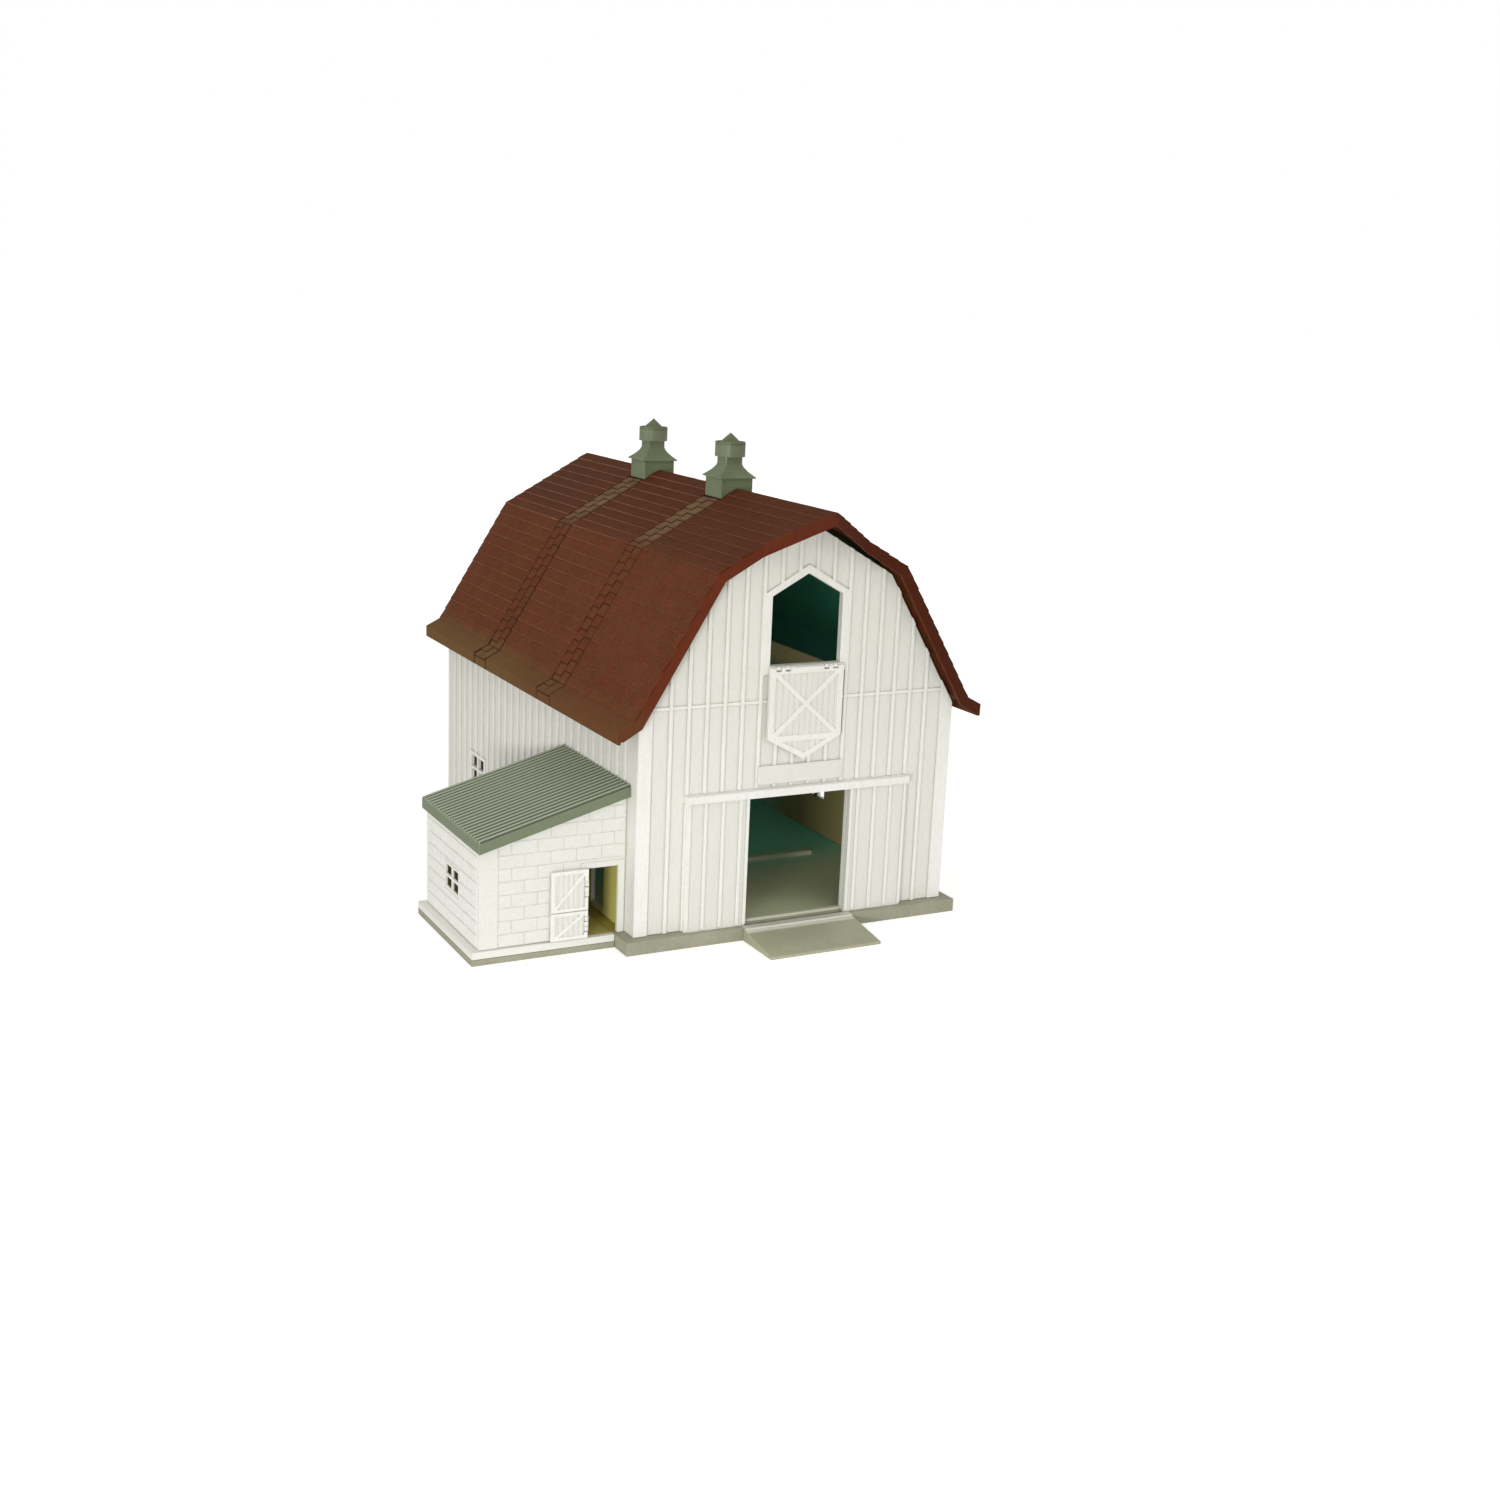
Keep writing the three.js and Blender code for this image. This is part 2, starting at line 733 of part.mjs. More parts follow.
// A side wall stands between the gable walls; outward is -1 on the left and 1 on the right
function sideWall(outerFace, outward, windows, bareZones, doorways) {
  const inner = outerFace - outward * wallThickness;
  const panel = box([outerFace, inner].sort((a, b) => a - b), [sideFrom, sideTo], [seatGap, wallHeight]);
  const skin = [outerFace, outerFace + outward * battenProud].sort((a, b) => a - b);
  const strips = battenPlaces(sideFrom, sideTo, battenPitch)
    .map((y) => box(skin, [y - battenWidth / 2, y + battenWidth / 2], [seatGap, wallHeight]));
  const skinRoom = [skin[0] - overrun, skin[1] + overrun];
  const frames = windows.map((y) => surround(y, windowFoot, windowWidth, windowHeight, windowCasing));
  const clear = [
    ...frames.map((frame) => prism('x', frame, ...skinRoom)),
    ...bareZones.map((zone) => prism('x', zone, ...skinRoom)),
  ];
  const cladding = cut(join(strips), clear.map((c) => c.intersect(box(skin,
    [sideFrom - overrun, sideTo + overrun], [0, wallHeight + overrun]))));
  const casings = frames.map((frame) => prism('x', frame, ...skin));
  const across = [outerFace - wallThickness - overrun, outerFace + wallThickness + overrun];
  const holes = [
    ...windows.flatMap((y) => panes(across, y, windowFoot, windowWidth, windowHeight, windowBar)),
    ...doorways.map((outline) => prism('x', outline, ...across)),
  ];
  return cut(join([panel, cladding, ...casings]), holes);
}

const milkFront = milkSetback;
const milkBack = milkSetback + milkDepth;
const innerDoorway = rectangle(
  [innerDoorFromFront, innerDoorFromFront + innerDoorWidth],
  [innerDoorFoot, innerDoorFoot + innerDoorHeight],
);

function leftWall() {
  const roofZone = rectangle(
    [milkFront - milkSideOverhang - seatGap, milkBack + milkSideOverhang + seatGap],
    [0, milkHighTop + 2 * seatGap],
  );
  return sideWall(0, -1, windowPlaces.slice(1), [roofZone], [innerDoorway]);
}

function rightWall() {
  return sideWall(barnWidth, 1, windowPlaces, [], []);
}

// Base plate, a shell open underneath with a grid of ribs

const baseLeft = -baseLedge;
const baseRight = barnWidth + baseLedge;
const baseFront = -baseFrontLedge;
const baseBack = barnLength + baseLedge;
const baseMiddleY = (baseFront + baseBack) / 2;

function ribbedTray([x0, x1], [y0, y1], baysX, baysY) {
  const block = box([x0, x1], [y0, y1], [-baseHeight, 0]);
  const pockets = [];
  const stepX = (x1 - x0 - 2 * baseWall + baseRib) / baysX;
  const stepY = (y1 - y0 - 2 * baseWall + baseRib) / baysY;
  for (let i = 0; i < baysX; i += 1) {
    for (let j = 0; j < baysY; j += 1) {
      const x = x0 + baseWall + i * stepX;
      const y = y0 + baseWall + j * stepY;
      pockets.push(box([x, x + stepX - baseRib], [y, y + stepY - baseRib],
        [-baseHeight - overrun, -baseSkin]));
    }
  }
  return cut(block, pockets);
}

const trackGroove = [slideBack - slideThickness - seatGap, slideBack + seatGap];
const rampLeft = middleX - rampWidth / 2;
const rampRight = middleX + rampWidth / 2;

function basePlate() {
  const tray = ribbedTray([baseLeft, baseRight], [baseFront, baseBack], ribBaysAcross, ribBaysAlong);
  const groove = box([trackLeft, trackRight], trackGroove, [-trackDepth, overrun]);
  const notch = box(
    [rampLeft - seatGap, rampRight + seatGap], [baseFront - overrun, baseFront + rampLip + seatGap],
    [-rampLipThickness - seatGap, overrun],
  );
  const sill = box(
    [doorwayLeft + seatGap, doorwayRight - seatGap], [0, wallThickness], [-baseSkin / 2, sillHeight],
  );
  const kerbX = middleX + kerbFromMiddle;
  const kerb = box([kerbX, kerbX + kerbLength], [kerbFromFront, kerbFromFront + kerbWidth],
    [-baseSkin / 2, kerbHeight]);
  return join([cut(tray, [groove, notch]), sill, kerb]);
}

const milkBaseLeft = -milkWidth - milkBaseLedge;
const milkBaseBack = milkBack + milkBaseFrontLedge;

function milkBase() {
  return ribbedTray(
    [milkBaseLeft, baseLeft - seatGap], [milkFront - milkBaseFrontLedge, milkBaseBack],
    ribBaysAcross / 2, ribBaysAlong / 3,
  );
}

// The ramp is a hollow wedge with a lip that drops into the notch of the base plate
function entryRamp() {
  const head = baseFront - seatGap;
  const toe = head - rampReach;
  const slope = (yIn, down) => [
    [head - yIn, -rampDrop - down], [toe + yIn, rampFoot - baseHeight - down],
  ];
  const [upper, lower] = slope(0, 0);
  const wedge = prism('x', [[toe, -baseHeight], [head, -baseHeight], upper, lower],
    rampLeft, rampRight);
  const [upperIn, lowerIn] = slope(rampSkin, rampSkin);
  const room = prism('x', [
    [lowerIn[0], -baseHeight - overrun], [upperIn[0], -baseHeight - overrun], upperIn, lowerIn,
  ], rampLeft + rampSkin, rampRight - rampSkin);
  const lip = box([rampLeft, rampRight], [head - rampSkin, baseFront + rampLip],
    [-rampLipThickness, 0]);
  return join([wedge.subtract(room), lip]);
}

// Sliding leaves and their track

// A leaf with its inner edge at the given x; outward is -1 for the left leaf
function slidingLeaf(innerEdge, outward) {
  const outerEdge = innerEdge + outward * slideWidth;
  const xs = [innerEdge, outerEdge].sort((a, b) => a - b);
  const front = slideBack - slideThickness;
  const plate = box(xs, [front, slideBack], [-slideTongue, slideTop]);
  const skin = [front - slideBattenProud, front];
  const clad = [sillHeight / 2, doorwayHeight - seatGap];
  const pitch = doorwayWidth / 2 / slideBays;
  const strips = Array.from({ length: slideBays }, (_, i) => {
    const x = innerEdge + outward * pitch * (i + halfShare);
    return box([x - battenWidth / 2, x + battenWidth / 2], skin, clad);
  });
  const stiles = xs.map((x, i) => {
    const to = x + (i === 0 ? stileWidth : -stileWidth);
    return box([x, to].sort((a, b) => a - b), skin, clad);
  });
  return join([plate, ...strips, ...stiles]);
}

function doorTrack() {
  const foot = doorwayHeight;
  const top = doorwayHeight + trackHeight;
  const xs = [trackLeft, trackRight];
  const back = -seatGap;
  const web = box(xs, [trackFront, back], [top - trackWall, top]);
  const frontLip = box(xs, [trackFront, trackFront + trackWall], [foot, top]);
  const ends = [[trackLeft - trackWall, trackLeft], [trackRight, trackRight + trackWall]]
    .map((range) => box(range, [trackFront, back], [foot, top]));
  return join([web, frontLip, ...ends]);
}

// Hinges

// A round bar along an axis, at two other coordinates
function rod(axis, radius, from, to, at) {
  const outline = Array.from({ length: hingeSides }, (_, i) => {
    const turn = (i + halfShare) / hingeSides * 2 * Math.PI;
    return [at[0] + radius * Math.cos(turn), at[1] + radius * Math.sin(turn)];
  });
  return prism(axis, outline, from, to);
}

// Starts of the three barrels of a hinge, wall, leaf and wall, around its middle
function barrelSpans(middle) {
  const step = barrelLength + barrelGap;
  return [-1, 0, 1].map((i) => {
    const at = middle + i * step;
    return [at - barrelLength / 2, at + barrelLength / 2];
  });
}

function widened([from, to], by) {
  return [from - by, to + by];
}

const hayAxisZ = hayFoot - barrelRadius;
const hayAxisY = -casingProud - seatGap - leafRelief - leafThickness / 2;
const hayHinges = [-1, 1].map((side) => middleX + side * hayHingeSpread / 2);

function bored(axis, body, from, to, at) {
  return body.subtract(rod(axis, barrelBore, from - overrun, to + overrun, at));
}

function hayBarrels() {
  const at = [hayAxisY, hayAxisZ];
  return hayHinges.flatMap((x) => [0, 2].map((i) => {
    const [from, to] = barrelSpans(x)[i];
    const arm = box([from, to], [hayAxisY, 0],
      [hayAxisZ - barrelRadius * armShare, hayAxisZ + barrelRadius * armShare]);
    return bored('x', join([rod('x', barrelRadius, from, to, at), arm]), from, to, at);
  }));
}

function hayLeaf() {
  const axis = hayAxisZ;
  const down = (z) => 2 * axis - z;
  const corner = down(haySideTop);
  const point = down(hayTop + seatGap);
  const half = hayHalf + hayLap;
  const outline = (top) => [
    [middleX - half, top], [middleX - half, corner], [middleX, point],
    [middleX + half, corner], [middleX + half, top],
  ];
  const back = hayAxisY + leafThickness / 2;
  const front = hayAxisY - leafThickness / 2;
  const skin = [front - leafRelief, front];
  const room = [skin[0] - overrun, back + overrun];
  const railTop = axis + leafRailLift;
  const plate = prism('y', outline(axis + hayLeafLift), front, back);
  const shape = prism('y', outline(railTop), ...room);
  const inset = hayFrameWidth / 2;
  const corners = [
    [middleX - half + inset, railTop - inset], [middleX - half + inset, corner],
    [middleX, point + inset], [middleX + half - inset, corner],
    [middleX + half - inset, railTop - inset],
  ];
  const extend = ([a, b], by) => {
    const length = Math.hypot(b[0] - a[0], b[1] - a[1]);
    const u = (b[0] - a[0]) / length * by;
    const v = (b[1] - a[1]) / length * by;
    return [[a[0] - u, a[1] - v], [b[0] + u, b[1] + v]];
  };
  const edges = corners.map((c, i) => [c, corners[(i + 1) % corners.length]]);
  const rails = [...edges, [corners[1], corners[3]]]
    .map((edge) => bar(...extend(edge, hayFrameWidth), hayFrameWidth));
  const braces = [[corners[0], corners[3]], [corners[4], corners[1]]]
    .map(([a, b]) => bar(a, b, hayBraceWidth));
  const relief = join([...rails, ...braces].map((line) => prism('y', line, ...skin)))
    .intersect(shape);
  const at = [hayAxisY, axis];
  const notchFoot = axis - barrelRadius - hingeClearance;
  const notches = hayHinges.flatMap((x) => [0, 2].map((i) => box(
    widened(barrelSpans(x)[i], barrelGap), room, [notchFoot, axis + overrun])));
  const spans = hayHinges.map((x) => barrelSpans(x)[1]);
  const rods = spans.map((span) => rod('x', barrelRadius, ...span, at));
  const bores = spans.map((span) => rod('x', barrelBore, ...widened(span, barrelGap), at));
  return cut(join([cut(join([plate, relief]), notches), ...rods]), bores);
}

function hayPin(x) {
  const spans = barrelSpans(x);
  return rod('x', pinRadius, spans[0][0], spans[2][1], [hayAxisY, hayAxisZ]);
}

// Milk house

const milkLeft = -milkWidth;
const milkRight = -seatGap;
const roofLeft = milkLeft - milkEndOverhang;
const roofRight = -seatGap;
const milkSlope = (milkHighTop - milkLowTop) / (roofRight - roofLeft);
const milkRoofTop = (x) => milkLowTop + milkSlope * (x - roofLeft);
const milkWallTop = (x) => milkRoofTop(x) - milkRibHeight - milkRoofThickness - seatGap;

// Courses of blocks in running bond that fill a zone of the (u, v) plane
function blockCourses([u0, u1], [v0, v1]) {
  const rows = Math.ceil((v1 - v0) / blockHeight);
  const columns = Math.ceil((u1 - u0) / blockLength) + 1;
  const blocks = [];
  for (let row = 0; row < rows; row += 1) {
    for (let column = 0; column < columns; column += 1) {
      const u = u0 + (column - (row % 2) / 2) * blockLength;
      const v = v0 + row * blockHeight;
      blocks.push([[u, u + blockLength - mortar], [v, v + blockHeight - mortar]]);
    }
  }
  return blocks;
}

const milkDoorRight = -milkDoorFromBarn;
const milkDoorLeft = milkDoorRight - milkDoorWidth;
const milkDoorway = rectangle([milkDoorLeft, milkDoorRight], [-overrun, milkDoorHeight]);
const milkAxisX = milkDoorLeft - barrelRadius / 2;
const milkAxisY = milkFront - blockProud - seatGap - leafRelief - leafThickness / 2;

function milkSideOutline(inset) {
  return [
    [milkLeft + inset, seatGap], [milkRight - inset, seatGap],
    [milkRight - inset, milkWallTop(milkRight - inset) - inset],
    [milkLeft + inset, milkWallTop(milkLeft + inset) - inset],
  ];
}

// Front and back walls share the outline; the face is the outer plane, outward its side
function milkLongWall(face, outward, bare) {
  const inner = face - outward * milkWall;
  const ys = [face, inner].sort((a, b) => a - b);
  const panel = prism('y', milkSideOutline(0), ...ys);
  const skin = [face, face + outward * blockProud].sort((a, b) => a - b);
  const blocks = blockCourses([milkLeft + milkCornerBoard + mortar, milkRight], [2 * seatGap, milkHighTop])
    .map(([us, vs]) => box(us, skin, vs));
  const room = [skin[0] - overrun, skin[1] + overrun];
  const reliefTop = (x) => milkWallTop(x) - blockReveal;
  const blocksFrom = milkLeft + milkCornerBoard + mortar;
  const zone = prism('y', [
    [blocksFrom, 0], [milkRight - blockReveal, 0],
    [milkRight - blockReveal, reliefTop(milkRight)], [blocksFrom, reliefTop(blocksFrom)],
  ], ...room);
  const relief = cut(join(blocks).intersect(zone), bare.map((o) => prism('y', o, ...room)));
  const corner = prism('y', [
    [milkLeft, seatGap], [milkLeft + milkCornerBoard, seatGap],
    [milkLeft + milkCornerBoard, reliefTop(milkLeft + milkCornerBoard)],
    [milkLeft, reliefTop(milkLeft)],
  ], ...skin);
  return join([panel, relief, corner]);
}

function milkFrontWall() {
  const casing = rectangle(
    [milkDoorLeft - milkDoorCasing, milkDoorRight + milkDoorFromBarn],
    [-overrun, milkDoorHeight + milkDoorCasing],
  );
  const trim = rectangle([milkDoorLeft - milkDoorCasing + mortar, milkRight - blockReveal],
    [seatGap, milkDoorHeight + milkDoorCasing - mortar]);
  const wall = join([
    milkLongWall(milkFront, -1, [casing]),
    prism('y', trim, milkFront - blockProud, milkFront),
  ]);
  const hole = prism('y', milkDoorway, milkFront - overrun, milkFront + milkWall + overrun);
  return join([wall.subtract(hole), ...milkBarrels()]);
}

function milkBackWall() {
  return milkLongWall(milkBack, 1, []);
}

function milkEndWall() {
  const ys = [milkFront + milkWall + seatGap, milkBack - milkWall - seatGap];
  const top = milkWallTop(milkLeft);
  const panel = box([milkLeft, milkLeft + milkWall], ys, [seatGap, top]);
  const skin = [milkLeft - blockProud, milkLeft];
  const frame = surround(milkWindowFromFront + milkSetback, milkWindowFoot,
    milkWindowWidth, milkWindowHeight, windowCasing);
  const blocks = join(blockCourses(ys, [2 * seatGap, top]).map(([us, vs]) => box(skin, us, vs)));
  const zone = prism('x', rectangle([ys[0] + blockReveal, ys[1] - blockReveal],
    [0, top - blockReveal]), skin[0] - overrun, skin[1] + overrun);
  const clear = prism('x', frame, skin[0] - overrun, skin[1] + overrun);
  const casing = prism('x', surround(milkWindowFromFront + milkSetback, milkWindowFoot,
    milkWindowWidth, milkWindowHeight, windowCasing - mortar), ...skin);
  const holes = panes([skin[0] - overrun, milkLeft + milkWall + overrun],
    milkWindowFromFront + milkSetback, milkWindowFoot, milkWindowWidth, milkWindowHeight, windowBar);
  return cut(join([panel, blocks.intersect(zone).subtract(clear), casing]), holes);
}

// One rib of the corrugated roof: places along its pitch and heights, as shares of both
const waveShares = [[0.1, 0], [0.35, 1], [0.65, 1], [0.9, 0]];

// The corrugated roof is made level and then tilted by a shear that keeps its ends upright
function milkRoof() {
  const front = milkFront - milkSideOverhang;
  const back = milkBack + milkSideOverhang;
  const count = Math.round((back - front) / milkRibPitch);
  const pitch = (back - front) / count;
  const wave = [];
  for (let i = 0; i < count; i += 1) {
    for (const [share, riseShare] of waveShares) {
      wave.push([front + (i + share) * pitch, (riseShare - 1) * milkRibHeight]);
    }
  }
  const foot = -milkRibHeight - milkRoofThickness;
  const sheet = prism('x', [
    [front, foot], [back, foot], [back, -milkRibHeight], ...wave.reverse(),
    [front, -milkRibHeight],
  ], roofLeft, roofRight);
  const rims = [
    box([roofLeft, roofRight], [front, front + milkRimWall], [-milkRimDepth, foot / 2]),
    box([roofLeft, roofRight], [back - milkRimWall, back], [-milkRimDepth, foot / 2]),
    box([roofLeft, roofLeft + milkEndOverhang - seatGap - blockProud], [front, back],
      [-milkRimDepth, foot / 2]),
  ];
  const geometry = geometryOf(join([sheet, ...rims]));
  const tilt = new THREE.Matrix4().makeShear(0, milkSlope, 0, 0, 0, 0);
  geometry.applyMatrix4(tilt);
  geometry.translate(0, 0, milkLowTop - milkSlope * roofLeft);
  geometry.computeVertexNormals();
  return geometry;
}

// Dairy door leaves

const leafSpans = {
  lower: [milkLeafFoot, milkLeafSplit - milkLeafGap / 2],
  upper: [milkLeafSplit + milkLeafGap / 2, milkLeafTop],
};
// Middle height of the hinge of each leaf
const milkHinges = {
  lower: (leafSpans.lower[0] + leafSpans.lower[1]) / 2,
  upper: (leafSpans.upper[0] + leafSpans.upper[1]) / 2,
};

function milkBarrels() {
  const at = [milkAxisX, milkAxisY];
  return Object.values(milkHinges).flatMap((z) => [0, 2].map((i) => {
    const [from, to] = barrelSpans(z)[i];
    const arm = box([milkAxisX - barrelRadius * armShare, milkAxisX + barrelRadius * armShare],
      [milkAxisY, milkFront], [from, to]);
    return bored('z', join([rod('z', barrelRadius, from, to, at), arm]), from, to, at);
  }));
}

function milkLeaf(level) {
  const [foot, top] = leafSpans[level];
  const inner = milkAxisX + milkLeafLift;
  const rail = milkAxisX + leafRailLift;
  const reach = milkDoorWidth + barrelRadius / 2 + milkLeafLap;
  const outer = milkAxisX - reach;
  const back = milkAxisY + leafThickness / 2;
  const front = milkAxisY - leafThickness / 2;
  const skin = [front - leafRelief, front];
  const room = [skin[0] - overrun, back + overrun];
  const plate = box([outer, inner], [front, back], [foot, top]);
  const w = milkFrameWidth;
  const rails = [
    box([outer, outer + w], skin, [foot, top]), box([rail - w, rail], skin, [foot, top]),
    box([outer, rail], skin, [foot, foot + w]), box([outer, rail], skin, [top - w, top]),
  ];
  const brace = prism('y', bar([outer, foot], [rail, top], milkBraceWidth), ...skin)
    .intersect(box([outer, rail], room, [foot, top]));
  const at = [milkAxisX, milkAxisY];
  const notchFrom = milkAxisX - barrelRadius - hingeClearance;
  const spans = barrelSpans(milkHinges[level]);
  const notches = [spans[0], spans[2]].map((span) => box(
    [notchFrom, milkAxisX + overrun], room, widened(span, barrelGap)));
  const barrel = rod('z', barrelRadius, ...spans[1], at);
  const bore = rod('z', barrelBore, ...widened(spans[1], barrelGap), at);
  return join([cut(join([plate, ...rails, brace]), notches), barrel]).subtract(bore);
}

function milkPin(level) {
  const spans = barrelSpans(milkHinges[level]);
  return rod('z', pinRadius, spans[0][0], spans[2][1], [milkAxisX, milkAxisY]);
}

// Assembly

const barn = new THREE.Group();
barn.add(
  piece('base_plate', 'base', geometryOf(basePlate())),
  piece('entry_ramp', 'ramp', geometryOf(entryRamp())),
  piece('front_wall', 'wall', geometryOf(frontWall())),
  piece('rear_wall', 'wall', geometryOf(rearWall())),
  piece('left_side_wall', 'wall', geometryOf(leftWall())),
  piece('right_side_wall', 'wall', geometryOf(rightWall())),
  piece('roof_front_section', 'roof', geometryOf(frontSection())),
  piece('roof_middle_section', 'roof', geometryOf(middleSection())),
  piece('roof_rear_section', 'roof', geometryOf(rearSection())),
  piece('roof_cover_strip_front', 'roof', geometryOf(coverStrip(joints[0]))),
  piece('roof_cover_strip_rear', 'roof', geometryOf(coverStrip(joints[1]))),
  ...cupola('front', joints[0]),
  ...cupola('rear', joints[1]),
  piece('door_track', 'door', geometryOf(doorTrack())),
  piece('main_door_left', 'door', geometryOf(slidingLeaf(doorwayLeft, -1))),
  piece('main_door_right', 'door', geometryOf(slidingLeaf(doorwayRight, 1))),
  piece('hay_door', 'door', geometryOf(hayLeaf())),
  piece('hay_door_pin_left', 'pin', geometryOf(hayPin(hayHinges[0]))),
  piece('hay_door_pin_right', 'pin', geometryOf(hayPin(hayHinges[1]))),
  piece('milk_house_base', 'base', geometryOf(milkBase())),
  piece('milk_house_front_wall', 'wall', geometryOf(milkFrontWall())),
  piece('milk_house_end_wall', 'wall', geometryOf(milkEndWall())),
  piece('milk_house_back_wall', 'wall', geometryOf(milkBackWall())),
  piece('milk_house_roof', 'metalGreen', milkRoof()),
  piece('milk_house_door_upper', 'door', geometryOf(milkLeaf('upper'))),
  piece('milk_house_door_lower', 'door', geometryOf(milkLeaf('lower'))),
  piece('milk_house_door_pin_upper', 'pin', geometryOf(milkPin('upper'))),
  piece('milk_house_door_pin_lower', 'pin', geometryOf(milkPin('lower'))),
);
barn.position.set(-middleX, -baseMiddleY, baseHeight);

export default barn;
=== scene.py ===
import math
import random

import bmesh
import bpy
from mathutils import Matrix, Vector


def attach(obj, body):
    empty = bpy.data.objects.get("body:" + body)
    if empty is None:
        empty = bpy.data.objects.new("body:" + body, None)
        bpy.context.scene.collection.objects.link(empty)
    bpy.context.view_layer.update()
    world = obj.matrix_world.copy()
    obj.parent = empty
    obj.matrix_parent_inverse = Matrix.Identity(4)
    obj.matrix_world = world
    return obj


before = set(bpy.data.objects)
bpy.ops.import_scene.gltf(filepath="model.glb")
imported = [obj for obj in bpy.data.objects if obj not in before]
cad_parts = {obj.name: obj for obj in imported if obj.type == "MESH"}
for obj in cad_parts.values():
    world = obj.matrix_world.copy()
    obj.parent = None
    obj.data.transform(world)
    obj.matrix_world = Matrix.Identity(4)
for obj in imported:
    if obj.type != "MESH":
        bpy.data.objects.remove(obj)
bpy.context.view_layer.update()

# Measures of the barn are in millimetres, with the middle of its underside as zero
MM = 0.001

# Camera: its place in metres, its azimuth, tilt and roll in degrees, and its lens
CAMERA_PLACE = (-0.42356, -0.86791, 0.30152)
CAMERA_ANGLES = (28.345, 14.01, 2.452)
CAMERA_LENS = 43.457

# Light from all round, and how much more of it comes along each axis
EVEN_LIGHT = 0.61
LIGHT_LEAN = (0, -0.2, 0.12)
FLOOR_SIZE = 20
FLOOR_GLOW = 0.5

# Roof of the barn, half of it, from the ridge to the eave: out from the middle and up
RIDGE = (0.0, 208.2)
KNEE = (50.8, 179.2)
KINK = (90.7, 112.9)
EAVE = (99.1, 108.1)
EAVE_TIP = 99.34
ROOF_FRONT = -140.45
ROOF_BACK = 136.55
PROW_TIP = -157.65
PROW_HALF = 28.2
STRIPS = (-48.12, 44.22)
STRIP_ROOM = 8.85
SADDLE_ROOM = 9.2
COURSE_PITCH = 6.6
COURSE_BUTT = 0.5
COURSE_HEAD = 0.1
SADDLE_COURSES = 2
PROW_COURSES = 5

# How far below the top of the roof its underside and its ribs start to show their painted teal shade, and
# show it fully
ROOF_SKIN = (1.0, 1.8)
ROOF_RIBS = (2.6, 3.4)

# Shingles on the courses
SHINGLE_WIDTH = 8.2
SHINGLE_GAP = 0.2
SHINGLE_LEAST = 0.6
SHINGLE_RISE = 0.1
SHINGLE_RISES = (0.5, 1.4)
SHINGLE_ROOT = 0.3
SHINGLE_LAP = 0.08
SHINGLE_LIP = 0.2
LIP_FACING = 0.9
SHINGLE_SEED = 4
PROW_SHINGLES = 3
PROW_TRIM = 0.2

# Tiles on the two columns of each cover strip: their back, their front and their shift in courses
TILE_COLUMNS = ((-8.5, -0.3, 0.0), (0.3, 8.5, 0.5))
STRIP_DROP = 0.1
TILE_GAP = 0.6
TILE_RISE = 0.14
TILE_RISES = (0.6, 1.2)
TILE_CLEAR = 9.4
TILE_LEAST = 1
TILE_SEED = 9

# Painted shade in the seams along the cover strips: how dark the front and the rear one are, and both on
# the eave
SEAMS = ((STRIPS[0], 0.3, 0.12, 0.5), (STRIPS[1], 0.75, 0.25, 0.85))
SEAM_REACH = 1.2
SEAM_CORE = 0.5

# Edges and corners of the mouldings, for painted highlights on the edges and painted shade in the corners:
# samples for them, and the values where they start and are full
LOOK_SAMPLES = 6
EDGE_TURN = (0.995, 0.8)
CORNER_DEPTH = (0.95, 0.45)

# Caps of the ventilators: half their width, their heights, and a length that takes in both
CAP_HALF = 9
CAP_FOOT = 222.6
CONE_FOOT = 229.4
CONE_TOP = 240
ALL_ALONG = 200

# Roof of the milk house, the ribbed part of it, and its ribs from front to back
MILK_ROOF = ((-162, -129, 40), (-86, -43, 90))
MILK_ROOF_TOP = ((-159.6, -127.9, 40), (-86, -43, 90))
RIB_FROM = -127.85
RIB_PITCH = 3.768
RIB_MIDDLE = 0.46
RIB_SIDES = (0.13, 0.22)

# Rooms inside the barn and the milk house, where their inner faces get painted light and shade
BARN_ROOM = ((-83.8, -131.15, -20), (83.8, 131.95, 300))
MILK_ROOM = ((-157.6, -122.8, -20), (-85.6, -50.0, 77))

# Windows, with painted shadow deep in their openings: the inner face of their wall, its way in, then their
# middle, foot, half width and height
WINDOW_MIDDLES = (-97.25, -7.85, 81.55)
SIDE_WINDOWS = ([(-83.6, 1, middle, 27.2, 10.3, 14.6) for middle in WINDOW_MIDDLES[1:]]
                + [(83.6, -1, middle, 27.2, 10.3, 14.6) for middle in WINDOW_MIDDLES])
MILK_WINDOW = (-156.7, 1, -87.25, 24.5, 8.8, 10.8)
WINDOW_DARK = 1.5
WINDOW_SLACK = 0.1

# Panels behind the boards and battens of the walls, the sliding leaves and the hinged leaves, which get a
# painted shade
WALL_PANELS = [((-86.4, -133.75, -20), (86.4, 134.55, 300)), ((-23.4, -135, 75.6), (23.4, -133, 85.2))]
SLIDING_PANELS = [((-60, -136.55, -20), (60, -120, 100))]
HINGED_PANELS = [((-25, -136.9, 80), (25, -120, 140)), ((-130, -126.8, 0), (-100, -110, 50))]

# Foot of the milk house walls on the upper half of its base, and the seam below it, where shadow is painted
WALL_FOOT = ((-170, -130, 3.2), (-91.65, -40, 10))
FOOT_SEAM = ((-170, -130, 2.85), (-91.65, -40, 3.2))

# Sill and ramp head at the main doorway, whose tops get painted light, and the kerb across the barn's floor
SILL = ((-28, -133.8, 6.9), (28, -130.5, 9))
RAMP_HEAD = ((-30, -145, 5), (30, -137.2, 7))
KERB = ((19.5, -47.6, 6.8), (60.6, -44, 9))

